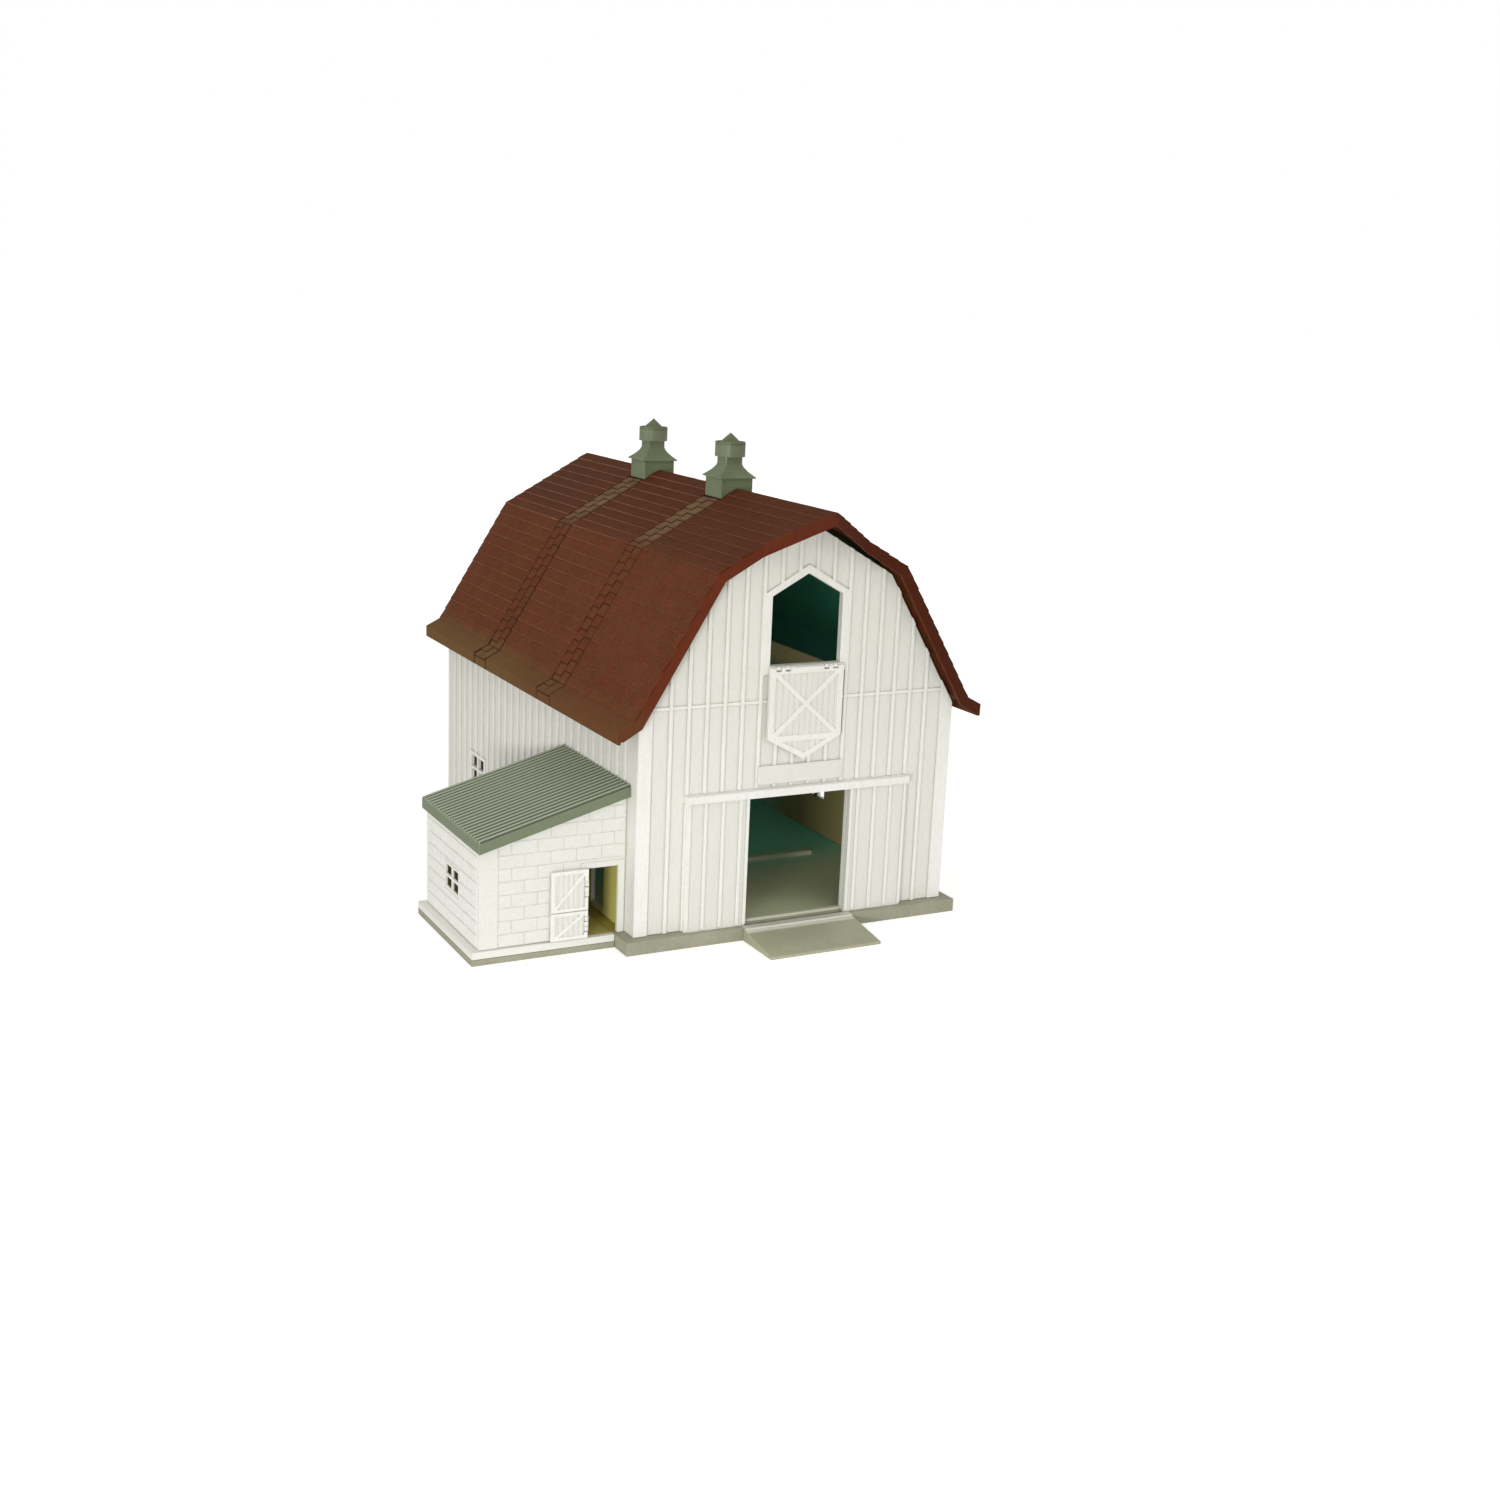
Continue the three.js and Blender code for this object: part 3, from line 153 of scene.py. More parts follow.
# Thin boards in the panels of the hinged doors
BOARD_RISE = 0.26
BOARD_GAP = 0.45
BOARD_BEVEL = 0.08
HAY_PANEL = ((-19, 99), (-19, 130.8), (19, 130.8), (19, 99), (0, 89))
HAY_FACE = -136.55
HAY_BOARD = 3.1
MILK_LEAF_SIDES = (-123.6, -108.2)
MILK_LEAF_PANELS = (("lower", 8.0, 19.9), ("upper", 21.9, 40.1))
MILK_LEAF_FACE = -126.45
MILK_LEAF_BOARD = 2.6


def colour(red, green, blue):
    """A colour as it shows on a screen, from 0 to 255, turned into linear light."""
    def linear(value):
        share = value / 255
        return share / 12.92 if share <= 0.04045 else ((share + 0.055) / 1.055) ** 2.4
    return (linear(red), linear(green), linear(blue), 1.0)


# Shades of the plastics and their own marks, and of the painted light, shade, shadow, highlights and
# reflection laid over them
SHADES = {name: colour(*levels) for name, levels in {
    "floor paper": (238, 238, 236),
    "white": (252, 251, 246),
    "cream white": (250, 249, 241),
    "white panel shade": (238, 237, 229),
    "white grain": (218, 217, 206),
    "white edge highlight": (255, 254, 250),
    "white corner shade": (172, 169, 154),
    "upper wall shade": (214, 212, 196),
    "block front shade": (226, 225, 217),
    # Painted light and shade inside the rooms
    "inside front shade": (152, 137, 70),
    "inside rear": (114, 220, 208),
    "inside loft light": (255, 228, 164),
    "inside rear gable shade": (112, 104, 60),
    "milk house inside": (236, 226, 128),
    "milk house inside rear": (120, 108, 56),
    "window shadow": (66, 58, 24),
    "brown": (108, 61, 36),
    "light brown": (114, 63, 38),
    "red patch": (127, 54, 33),
    "olive patch": (100, 71, 38),
    "brown hollow": (80, 44, 25),
    "pale shingle": (124, 78, 56),
    "rear eave": (114, 92, 54),
    "eave": (118, 86, 50),
    "upper roof shade": (76, 42, 26),
    "dull tile reflection": (112, 88, 62),
    "bright tile reflection": (136, 108, 78),
    "tile gap shade": (34, 18, 12),
    "brown edge highlight": (134, 84, 60),
    "shingle lip highlight": (164, 114, 84),
    "strip seam shade": (46, 25, 16),
    "left fascia": (103, 46, 28),
    "right fascia shade": (70, 30, 19),
    "low left fascia": (100, 62, 38),
    "fascia edge highlight": (150, 86, 60),
    "roof underside shade": (40, 118, 98),
    "grey green": (110, 121, 88),
    "light green": (120, 130, 97),
    "green hollow": (94, 103, 74),
    "cap band": (126, 133, 111),
    "cap cone": (88, 98, 62),
    "milk house roof": (130, 140, 116),
    "rib crest highlight": (176, 184, 158),
    "rib valley shade": (68, 78, 56),
    "ventilator front shade": (84, 88, 58),
    "ventilator left light": (136, 148, 112),
    "green edge highlight": (178, 186, 162),
    "green corner shade": (62, 70, 52),
    "base khaki": (164, 164, 142),
    "light base khaki": (174, 173, 152),
    "base edge highlight": (208, 208, 194),
    "ramp khaki": (180, 180, 152),
    "light ramp khaki": (188, 188, 160),
    "ramp edge highlight": (206, 207, 188),
    "khaki hollow": (130, 130, 108),
    "khaki corner shade": (96, 96, 80),
    "wall foot": (244, 243, 235),
    "foot seam shadow": (104, 100, 84),
    "floor front light": (224, 230, 184),
    "floor rear shade": (126, 220, 186),
    "milk house floor shade": (190, 174, 84),
    "sill": (212, 214, 190),
    "ramp head": (226, 225, 210),
    "kerb": (226, 206, 182),
    "steel": (170, 170, 165),
    "light steel": (205, 205, 200),
}.items()}


# Camera, light and floor

def stand_camera():
    """The camera stands left of the barn's front, a little above its eaves, and looks down."""
    azimuth, tilt, roll = (math.radians(angle) for angle in CAMERA_ANGLES)
    ahead = Vector((math.sin(azimuth) * math.cos(tilt), math.cos(azimuth) * math.cos(tilt),
                    -math.sin(tilt)))
    level = Vector((math.cos(azimuth), -math.sin(azimuth), 0))
    above = level.cross(ahead)
    across = level * math.cos(roll) + above * math.sin(roll)
    upright = above * math.cos(roll) - level * math.sin(roll)
    data = bpy.data.cameras.new("camera")
    data.sensor_width = 36
    data.lens = CAMERA_LENS
    data.clip_start = 0.05
    data.clip_end = 60
    camera = bpy.data.objects.new("camera", data)
    turn = Matrix((across, upright, -ahead)).transposed().to_4x4()
    camera.matrix_world = Matrix.Translation(CAMERA_PLACE) @ turn
    bpy.context.collection.objects.link(camera)
    bpy.context.scene.camera = camera


def soft_lamp(name, place, size, power, aim):
    """A square lamp that faces a place, and isn't seen itself."""
    data = bpy.data.lights.new(name, "AREA")
    data.size = size
    data.energy = power
    lamp = bpy.data.objects.new(name, data)
    lamp.visible_camera = False
    ahead = Vector(aim) - Vector(place)
    lamp.matrix_world = Matrix.Translation(place) @ ahead.to_track_quat("-Z", "Y").to_matrix().to_4x4()
    bpy.context.collection.objects.link(lamp)


def light_room():
    """Even light, stronger from the front and above, a low lamp to the left, a faint one inside."""
    soft_lamp("front_lamp", place=(-0.85, -1.0, 0.13), size=0.25, power=10.3, aim=(-0.76, -0.89, -0.2))
    soft_lamp("loft_lamp", place=(-0.02, -0.06, 0.135), size=0.04, power=0.0125, aim=(0.08, 0.06, 0.12))
    world = bpy.data.worlds.new("room")
    bpy.context.scene.world = world
    world.use_nodes = True
    nodes, links = world.node_tree.nodes, world.node_tree.links
    nodes.clear()
    place = nodes.new("ShaderNodeTexCoord")
    toward = nodes.new("ShaderNodeVectorMath")
    toward.operation = "DOT_PRODUCT"
    toward.inputs[1].default_value = LIGHT_LEAN
    even = nodes.new("ShaderNodeMath")
    even.inputs[1].default_value = EVEN_LIGHT
    path = nodes.new("ShaderNodeLightPath")
    seen = nodes.new("ShaderNodeMath")
    seen.operation = "MAXIMUM"
    strength = nodes.new("ShaderNodeMix")
    strength.inputs["B"].default_value = 1.0
    background = nodes.new("ShaderNodeBackground")
    background.inputs["Color"].default_value = (1, 1, 1, 1)
    output = nodes.new("ShaderNodeOutputWorld")
    links.new(place.outputs["Generated"], toward.inputs[0])
    links.new(toward.outputs["Value"], even.inputs[0])
    links.new(path.outputs["Is Camera Ray"], seen.inputs[0])
    links.new(path.outputs["Is Transmission Ray"], seen.inputs[1])
    links.new(seen.outputs["Value"], strength.inputs["Factor"])
    links.new(even.outputs["Value"], strength.inputs["A"])
    links.new(strength.outputs["Result"], background.inputs["Strength"])
    links.new(background.outputs["Background"], output.inputs["Surface"])


def lay_floor():
    """A pale floor that keeps the barn's shadow and is white elsewhere."""
    bm = bmesh.new()
    bmesh.ops.create_grid(bm, x_segments=1, y_segments=1, size=FLOOR_SIZE)
    mesh = bpy.data.meshes.new("floor")
    bm.to_mesh(mesh)
    bm.free()
    floor = bpy.data.objects.new("floor", mesh)
    bpy.context.collection.objects.link(floor)
    material = bpy.data.materials.new("floor_paper")
    material.use_nodes = True
    nodes, links = material.node_tree.nodes, material.node_tree.links
    shader = nodes["Principled BSDF"]
    shader.inputs["Base Color"].default_value = SHADES["floor paper"]
    shader.inputs["Roughness"].default_value = 1.0
    shader.inputs["Specular IOR Level"].default_value = 0.0
    shader.inputs["Emission Color"].default_value = (1, 1, 1, 1)
    path = nodes.new("ShaderNodeLightPath")
    glow = nodes.new("ShaderNodeMath")
    glow.operation = "MULTIPLY"
    glow.inputs[1].default_value = FLOOR_GLOW
    links.new(path.outputs["Is Camera Ray"], glow.inputs[0])
    links.new(glow.outputs["Value"], shader.inputs["Emission Strength"])
    mesh.materials.append(material)


# Finishes

class Finish:
    """A moulded plastic finish: one shader, and the nodes that give it colour, gloss and relief."""

    def __init__(self, name, rough, gloss):
        self.material = bpy.data.materials.new(name)
        self.material.use_nodes = True
        self.nodes = self.material.node_tree.nodes
        self.links = self.material.node_tree.links
        self.shader = self.nodes["Principled BSDF"]
        self.shader.inputs["Roughness"].default_value = rough
        self.shader.inputs["Specular IOR Level"].default_value = gloss
        self.place = self.nodes.new("ShaderNodeTexCoord").outputs["Object"]
        self.along = self.parts(self.place)
        self.facing = self.parts(self.nodes.new("ShaderNodeNewGeometry").outputs["True Normal"])

    def node(self, kind, settings=None, **values):
        """A node with its settings, and with values or other nodes' outputs for its inputs."""
        made = self.nodes.new(kind)
        for name, value in (settings or {}).items():
            setattr(made, name, value)
        for name, value in values.items():
            key = int(name[1:]) if name[0] == "i" and name[1:].isdigit() else name.replace("_", " ")
            self.feed(made.inputs[key], value)
        return made

    def feed(self, socket, value):
        if isinstance(value, bpy.types.NodeSocket):
            self.links.new(value, socket)
        else:
            socket.default_value = value

    def math(self, operation, first, second=0.0, third=0.0):
        return self.node("ShaderNodeMath", {"operation": operation}, i0=first, i1=second,
                         i2=third).outputs[0]

    def vector(self, operation, first, second=(0, 0, 0)):
        return self.node("ShaderNodeVectorMath", {"operation": operation}, i0=first, i1=second)

    def parts(self, vector):
        return self.node("ShaderNodeSeparateXYZ", Vector=vector).outputs

    def both(self, first, second):
        """One share of another."""
        return self.math("MULTIPLY", first, second)

    def level(self, share, low, high):
        """Turns a share of 0 to 1 into one of low to high."""
        return self.math("MULTIPLY_ADD", share, high - low, low)

    def ramp(self, value, low, high):
        """0 up to low, 1 from high on, smooth between."""
        ranged = self.node("ShaderNodeMapRange", {"interpolation_type": "SMOOTHSTEP"}, Value=value,
                           From_Min=low, From_Max=high)
        return ranged.outputs["Result"]

    def past(self, axis, start, end, sway=None, by=0.0):
        """0 before start and 1 past end along an axis, with a noise that may sway that border."""
        place = self.along[axis]
        if sway is not None:
            place = self.math("MULTIPLY_ADD", sway, by * MM, place)
        return self.ramp(place, start * MM, end * MM)

    def looks(self, axis, start=-0.5, end=-0.8):
        """1 on faces that look to the left along X or to the front along Y, or another way if told."""
        return self.ramp(self.facing[axis], start, end)

    def zone(self, low, high, soft=0.5):
        """1 inside a box between two corners, 0 outside it."""
        middle = tuple((a + b) / 2 * MM for a, b in zip(low, high))
        half = tuple((b - a) / 2 * MM for a, b in zip(low, high))
        away = self.vector("ABSOLUTE", self.vector("SUBTRACT", self.place, middle).outputs[0])
        past = self.parts(self.vector("SUBTRACT", away.outputs[0], half).outputs[0])
        furthest = self.math("MAXIMUM", self.math("MAXIMUM", past["X"], past["Y"]), past["Z"])
        return self.ramp(furthest, soft * MM, -soft * MM)

    def spots(self, scale, detail=3.0, stretch=(1, 1, 1), rough=0.5):
        """Noise over the piece, with its size in spots per millimetre along each axis."""
        sized = self.node("ShaderNodeMapping", Vector=self.place,
                          Scale=tuple(scale * s / MM for s in stretch)).outputs["Vector"]
        noise = self.node("ShaderNodeTexNoise", Vector=sized, Scale=1.0, Detail=detail,
                          Roughness=rough)
        return noise.outputs["Fac"]

    def carried(self, name):
        """A value that the faces of a piece carry."""
        return self.node("ShaderNodeAttribute", {"attribute_name": name}).outputs["Fac"]

    def between(self, share, first, second):
        mix = self.nodes.new("ShaderNodeMix")
        mix.data_type = "RGBA"
        self.feed(mix.inputs["Factor"], share)
        self.feed(mix.inputs[6], first)
        self.feed(mix.inputs[7], second)
        return mix.outputs[2]

    def tint(self, base, share, strength, shade):
        """Lays a shade, or another node's colour, over the base where the share is high."""
        top = SHADES[shade] if isinstance(shade, str) else shade
        return self.between(self.both(share, strength), base, top)

    def mottled(self, spots, first, second, high=0.65):
        """Two shades in soft patches."""
        return self.between(self.ramp(spots, 0.35, high), SHADES[first], SHADES[second])

    def edges(self, radius):
        """The softened normal of the moulded edges, and a mask that is 1 on those edges, where a painted
        highlight goes.
        """
        soft = self.node("ShaderNodeBevel", {"samples": LOOK_SAMPLES}, Radius=radius * MM).outputs["Normal"]
        flat = self.node("ShaderNodeNewGeometry").outputs["Normal"]
        agree = self.vector("DOT_PRODUCT", soft, flat)
        return soft, self.ramp(agree.outputs["Value"], *EDGE_TURN)

    def corners(self, reach):
        """A mask that is 1 deep in the inner corners of a piece and 0 on its open faces, where shade is
        painted.
        """
        open_share = self.node("ShaderNodeAmbientOcclusion", {"samples": LOOK_SAMPLES, "only_local": True},
                               Distance=reach * MM).outputs["AO"]
        return self.ramp(open_share, *CORNER_DEPTH)

    def relief(self, height, depth, normal=None):
        """Bumps of a given depth."""
        bump = self.node("ShaderNodeBump", Height=height, Distance=depth * MM)
        if normal is not None:
            self.feed(bump.inputs["Normal"], normal)
        return bump.outputs["Normal"]

    def close(self, base, normal, rough=None):
        self.feed(self.shader.inputs["Base Color"], base)
        self.feed(self.shader.inputs["Normal"], normal)
        if rough is not None:
            self.feed(self.shader.inputs["Roughness"], rough)
        return self.material


def window_shadow_zone(finish, opening):
    """1 in the deep part of a window opening, round the inner face of its wall, where shadow is painted."""
    wall, inward, middle, foot, half_width, height = opening
    near, far = sorted((wall - inward * WINDOW_DARK, wall + inward * WINDOW_SLACK))
    half, head = half_width + WINDOW_SLACK, foot + height + WINDOW_SLACK
    return finish.zone((near, middle - half, foot - WINDOW_SLACK), (far, middle + half, head), soft=0.05)


def barn_inside_shade(finish):
    """Painted shade inside the barn: ochre behind the front gable, teal further back, painted light that
    makes it paler in the loft, dark painted shade on the rear gable.
    """
    inside = finish.between(finish.past("Y", 20, 70), SHADES["inside front shade"], SHADES["inside rear"])
    inside = finish.tint(inside, finish.past("Z", 90, 100), 1.0, "inside loft light")
    return finish.tint(inside, finish.past("Y", 130, 131.5), 1.0, "inside rear gable shade")


def white_plastic(name, grain, panels, windows=()):
    """Off-white plastic with wood grain or the skin of blocks; painted shade greys its panels, corners,
    upper boards, block fronts and rooms, painted shadow darkens its windows and painted highlights lighten
    its edges.
    """
    finish = Finish(name, rough=0.5, gloss=0.3)
    normal, edge = finish.edges(0.3)
    if grain:
        streaks = finish.spots(0.9, detail=4.0, stretch=(1.4, 1.4, 0.07), rough=0.6)
        fine = finish.spots(1.6, detail=2.0, stretch=(1, 1, 0.3))
        height = finish.math("ADD", finish.both(streaks, 0.5), finish.both(fine, 0.5))
        depth = 0.12
    else:
        streaks = height = finish.spots(0.8, detail=5.0, rough=0.65)
        depth = 0.25
    paint = finish.mottled(finish.spots(0.03, detail=2.0), "white", "cream white", high=0.7)
    # Painted shade: the panels between the battens a shade darker than the lit battens
    for low, high in panels:
        paint = finish.tint(paint, finish.zone(low, high, soft=0.1), 1.0, "white panel shade")
    paint = finish.tint(paint, finish.ramp(height, 0.6, 0.35), 0.3, "white grain")
    # Painted highlight on the moulded edges
    paint = finish.tint(paint, edge, 0.5, "white edge highlight")
    # Painted shade deep in the inner corners, beside the battens and the trim
    paint = finish.tint(paint, finish.corners(1.4), 0.55 if grain else 0.08, "white corner shade")
    if grain:
        # Painted shade on the upper boards, darker towards the top under the roof
        paint = finish.tint(paint, finish.past("Z", 60, 160), 0.25, "upper wall shade")
    else:
        # Painted shade on the block faces that look to the front
        paint = finish.tint(paint, finish.looks("Y"), 0.45, "block front shade")
    # Painted shade on the inner faces of the barn and the milk house, paler in the loft
    paint = finish.tint(paint, finish.zone(*BARN_ROOM, soft=0.1), 0.9, barn_inside_shade(finish))
    milk_inside_shade = finish.between(finish.past("Y", -58, -51), SHADES["milk house inside"],
                                 SHADES["milk house inside rear"])
    paint = finish.tint(paint, finish.zone(*MILK_ROOM, soft=0.1), 0.97, milk_inside_shade)
    # Painted shadow deep in the window openings
    for opening in windows:
        paint = finish.tint(paint, window_shadow_zone(finish, opening), 0.95, "window shadow")
    return finish.close(paint, finish.relief(height, depth, normal), finish.level(streaks, 0.4, 0.6))


def roof_inside_shade_zone(finish):
    """1 on the underside of the roof and on its ribs, between the gables, where teal shade is painted."""
    across = finish.math("ABSOLUTE", finish.along["X"])
    rooms = []
    for start, end in ((RIDGE, KNEE), (KNEE, KINK)):
        fall = (end[1] - start[1]) / (end[0] - start[0])
        surface = finish.math("MULTIPLY_ADD", across, fall, (start[1] - fall * start[0]) * MM)
        rooms.append(finish.math("SUBTRACT", surface, finish.along["Z"]))
    below = finish.math("MINIMUM", *rooms)
    skin, ribs = (finish.ramp(below, least * MM, most * MM) for least, most in (ROOF_SKIN, ROOF_RIBS))
    hidden = finish.math("MAXIMUM", ribs, finish.both(finish.looks("Z", -0.05, -0.2), skin))
    between_gables = finish.both(finish.past("Y", -130, -100), finish.past("Y", 133.5, 131.5))
    return finish.both(between_gables, hidden)


def strip_seam_shade(finish, low):
    """Painted shade in the seams along both edges of each cover strip, strongest on the flared eaves."""
    seams = None
    for middle, at_front, at_back, at_eave in SEAMS:
        for seam, share in ((middle - STRIP_ROOM, at_front), (middle + STRIP_ROOM, at_back)):
            away = finish.math("ABSOLUTE", finish.math("SUBTRACT", finish.along["Y"], seam * MM))
            line = finish.both(finish.ramp(away, SEAM_REACH * MM, SEAM_CORE * MM),
                               finish.level(low, share, at_eave))
            seams = line if seams is None else finish.math("MAXIMUM", seams, line)
    return seams


def roof_plastic(name, tiles=0.0, gaps=0.0, lips=1.0):
    """Dark red-brown plastic, olive along the flared eaves, redder on the fascias, with painted shade on
    its upper slopes, on its right fascia, in its strip seams and as teal on its underside, and painted
    highlights on its edges.

    It has a tan painted reflection on tiles, painted shade in the gaps between them, and painted highlights
    on the lips of shingles.
    """
    finish = Finish(name, rough=0.6, gloss=0.04)
    normal, edge = finish.edges(0.3)
    broad = finish.spots(0.035, rough=0.6)
    patch = finish.spots(0.2, detail=4.0, rough=0.65)
    fine = finish.spots(1.1, detail=4.0, stretch=(1, 0.35, 1), rough=0.6)
    brown = finish.mottled(broad, "brown", "light brown")
    brown = finish.tint(brown, finish.ramp(patch, 0.5, 0.68), 0.65, "red patch")
    brown = finish.tint(brown, finish.ramp(patch, 0.48, 0.3), 0.65, "olive patch")
    brown = finish.tint(brown, finish.ramp(fine, 0.62, 0.4), 0.45, "brown hollow")
    brown = finish.tint(brown, finish.carried("tone"), 0.15, "pale shingle")

    low = finish.past("Z", KINK[1] + 9, KINK[1] - 1)
    lowest = finish.past("Z", KINK[1] + 9, KINK[1] - 3, sway=patch, by=4)
    rear = finish.past("Y", -40, 90, sway=broad, by=100)
    upper = finish.past("Z", KNEE[1] - 4, KNEE[1] + 8)
    brown = finish.tint(brown, finish.both(lowest, rear), 0.8, "rear eave")
    brown = finish.tint(brown, lowest, 0.45, "eave")
    # Painted shade on the upper slopes
    brown = finish.tint(brown, upper, 0.5, "upper roof shade")

    # Painted reflection on the tiles, tan in patches, most on the upper slopes
    if tiles:
        reflection_patches = finish.ramp(patch, 0.3, 0.7)
        tan = finish.between(reflection_patches, SHADES["dull tile reflection"], SHADES["bright tile reflection"])
        brown = finish.tint(brown, finish.math("MAXIMUM", finish.both(low, 0.1), upper), tiles, tan)
    # Painted shade in the gaps between the tiles, full on the upper slopes
    if gaps:
        brown = finish.tint(brown, finish.level(upper, 0.7, 1.0), gaps, "tile gap shade")
    # Painted highlight on the moulded edges
    brown = finish.tint(brown, edge, 0.3, "brown edge highlight")
    # Painted highlight on the lips of shingles, most on the rear and upper slopes
    shown = finish.math("MULTIPLY_ADD", rear, 0.5, finish.level(upper, 0.18, 0.28))
    shown = finish.both(shown, finish.level(low, 1.0, 0.2))
    brown = finish.tint(brown, finish.both(finish.carried("lip"), shown), lips, "shingle lip highlight")
    # Painted shade in the seams along the cover strips
    brown = finish.tint(brown, strip_seam_shade(finish, low), 1.0, "strip seam shade")

    # Fascias redder, with painted shade on the right fascia and a painted highlight along their edges
    fascia = finish.both(finish.looks("Y"), finish.past("Y", -136, -139))
    fascia_red_and_shade = finish.between(finish.past("X", -60, 60), SHADES["left fascia"], SHADES["right fascia shade"])
    fascia_red_and_shade = finish.tint(fascia_red_and_shade, finish.both(low, finish.past("X", 0, -60)), 0.75, "low left fascia")
    brown = finish.tint(brown, fascia, 0.85, fascia_red_and_shade)
    brown = finish.tint(brown, finish.both(edge, fascia), 0.5, "fascia edge highlight")
    # Painted teal shade on the underside of the roof and on its ribs
    brown = finish.tint(brown, roof_inside_shade_zone(finish), 0.9, "roof underside shade")
    return finish.close(brown, finish.relief(fine, 0.12, normal))


def green_plastic():
    """Grey-green plastic with a faint mottle, painted highlights on its edges and on the roof ribs, painted
    shade between the ribs, in its corners and on the ventilators' fronts, and painted light on their left
    faces.
    """
    finish = Finish("grey_green", rough=0.42, gloss=0.35)
    normal, edge = finish.edges(0.4)
    fine = finish.spots(1.4, detail=4.0)
    green = finish.mottled(finish.spots(0.08), "grey green", "light green")
    green = finish.tint(green, finish.ramp(fine, 0.65, 0.4), 0.35, "green hollow")
    for shade, foot, top in (("cap band", CAP_FOOT, CONE_FOOT), ("cap cone", CONE_FOOT, CONE_TOP)):
        cap = finish.zone((-CAP_HALF, -ALL_ALONG, foot), (CAP_HALF, ALL_ALONG, top), soft=0.2)
        green = finish.tint(green, cap, 0.6, shade)

    ribs = finish.math("DIVIDE", finish.math("SUBTRACT", finish.along["Y"], RIB_FROM * MM), RIB_PITCH * MM)
    from_crest = finish.math("ABSOLUTE", finish.math("SUBTRACT", finish.math("FRACT", ribs), RIB_MIDDLE))
    roof = finish.zone(*MILK_ROOF)
    valley = finish.both(finish.ramp(from_crest, *RIB_SIDES), finish.zone(*MILK_ROOF_TOP))
    upward = finish.looks("Z", 0.1, 0.3)
    green = finish.tint(green, roof, 0.5, "milk house roof")
    # Painted highlight on the upward faces of the roof ribs, painted shade in the valleys between them
    green = finish.tint(green, finish.both(roof, upward), 0.9, "rib crest highlight")
    green = finish.tint(green, finish.both(valley, upward), 0.9, "rib valley shade")

    # Painted shade on the ventilators' front faces, painted light on their left faces
    ventilators = finish.past("Z", 180, 182)
    green = finish.tint(green, finish.both(ventilators, finish.looks("Y")), 0.3, "ventilator front shade")
    green = finish.tint(green, finish.both(ventilators, finish.looks("X")), 0.3, "ventilator left light")
    # Painted highlight on the edges, and painted shade deep in the inner corners
    green = finish.tint(green, edge, 0.75, "green edge highlight")
    green = finish.tint(green, finish.corners(1.2), 0.6, "green corner shade")
    return finish.close(green, finish.relief(fine, 0.05, normal))


def base_plastic(name, first, second, bright):
    """Khaki plastic of the bases and the ramp, with the foot of the milk house, painted highlights on
    edges, painted shade in corners and in the seam under the foot, painted light and shade on the floors
    inside, and painted light on the sill and the ramp head.
    """
    finish = Finish(name, rough=0.6, gloss=0.25)
    normal, edge = finish.edges(0.35)
    fine = finish.spots(1.8)
    khaki = finish.mottled(finish.spots(0.05), first, second)
    khaki = finish.tint(khaki, finish.ramp(fine, 0.6, 0.4), 0.25, "khaki hollow")
    # Painted highlight on the edges, and painted shade deep in the inner corners
    khaki = finish.tint(khaki, edge, 0.6, bright)
    khaki = finish.tint(khaki, finish.corners(1.5), 0.5, "khaki corner shade")
    khaki = finish.tint(khaki, finish.zone(*WALL_FOOT, soft=0.05), 0.95, "wall foot")
    # Painted shadow in the seam under the foot of the milk house walls
    khaki = finish.tint(khaki, finish.zone(*FOOT_SEAM, soft=0.05), 0.7, "foot seam shadow")
    # Painted light and shade on the floors inside the barn and the milk house
    floor = finish.between(finish.past("Y", -85, -20), SHADES["floor front light"], SHADES["floor rear shade"])
    khaki = finish.tint(khaki, finish.zone(*BARN_ROOM, soft=0.1), 0.9, floor)
    khaki = finish.tint(khaki, finish.zone(*MILK_ROOM, soft=0.1), 0.9, "milk house floor shade")
    # Painted light on the tops of the sill and the ramp head
    khaki = finish.tint(khaki, finish.zone(*SILL, soft=0.1), 0.9, "sill")
    khaki = finish.tint(khaki, finish.zone(*RAMP_HEAD, soft=0.1), 0.85, "ramp head")
    khaki = finish.tint(khaki, finish.zone(*KERB), 0.8, "kerb")
    return finish.close(khaki, finish.relief(fine, 0.06, normal))


def pin_steel():
    """Drawn steel wire with fine marks along it."""
    finish = Finish("pin_steel", rough=0.3, gloss=0.5)
    finish.shader.inputs["Metallic"].default_value = 1.0
    marks = finish.spots(6.0, detail=2.0)
    grey = finish.between(marks, SHADES["steel"], SHADES["light steel"])
    return finish.close(grey, finish.relief(marks, 0.01))


# Pieces

def finished(name, bm, material, body):
    """Turns a mesh in millimetres into a piece of the barn that rides on one of its bodies."""
    bmesh.ops.transform(bm, matrix=Matrix.Scale(MM, 4), verts=bm.verts)
    mesh = bpy.data.meshes.new(name)
    bm.to_mesh(mesh)
    bm.free()
    mesh.materials.append(material)
    made = bpy.data.objects.new(name, mesh)
    bpy.context.collection.objects.link(made)
    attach(made, body)


def island(face):
    """All faces that are joined to one face."""
    found, waiting = {face}, [face]
    while waiting:
        for edge in waiting.pop().edges:
            for other in edge.link_faces:
                if other not in found:
                    found.add(other)
                    waiting.append(other)
    return list(found)


def trim(bm, part, place, outward):
    """Cuts part of a mesh off beyond a plane, and closes it again."""
    cut = bmesh.ops.bisect_plane(bm, geom=part, plane_co=place, plane_no=outward, clear_outer=True)
    rim = [edge for edge in cut["geom_cut"] if isinstance(edge, bmesh.types.BMEdge)]
    if rim:
        bmesh.ops.holes_fill(bm, edges=rim, sides=0)


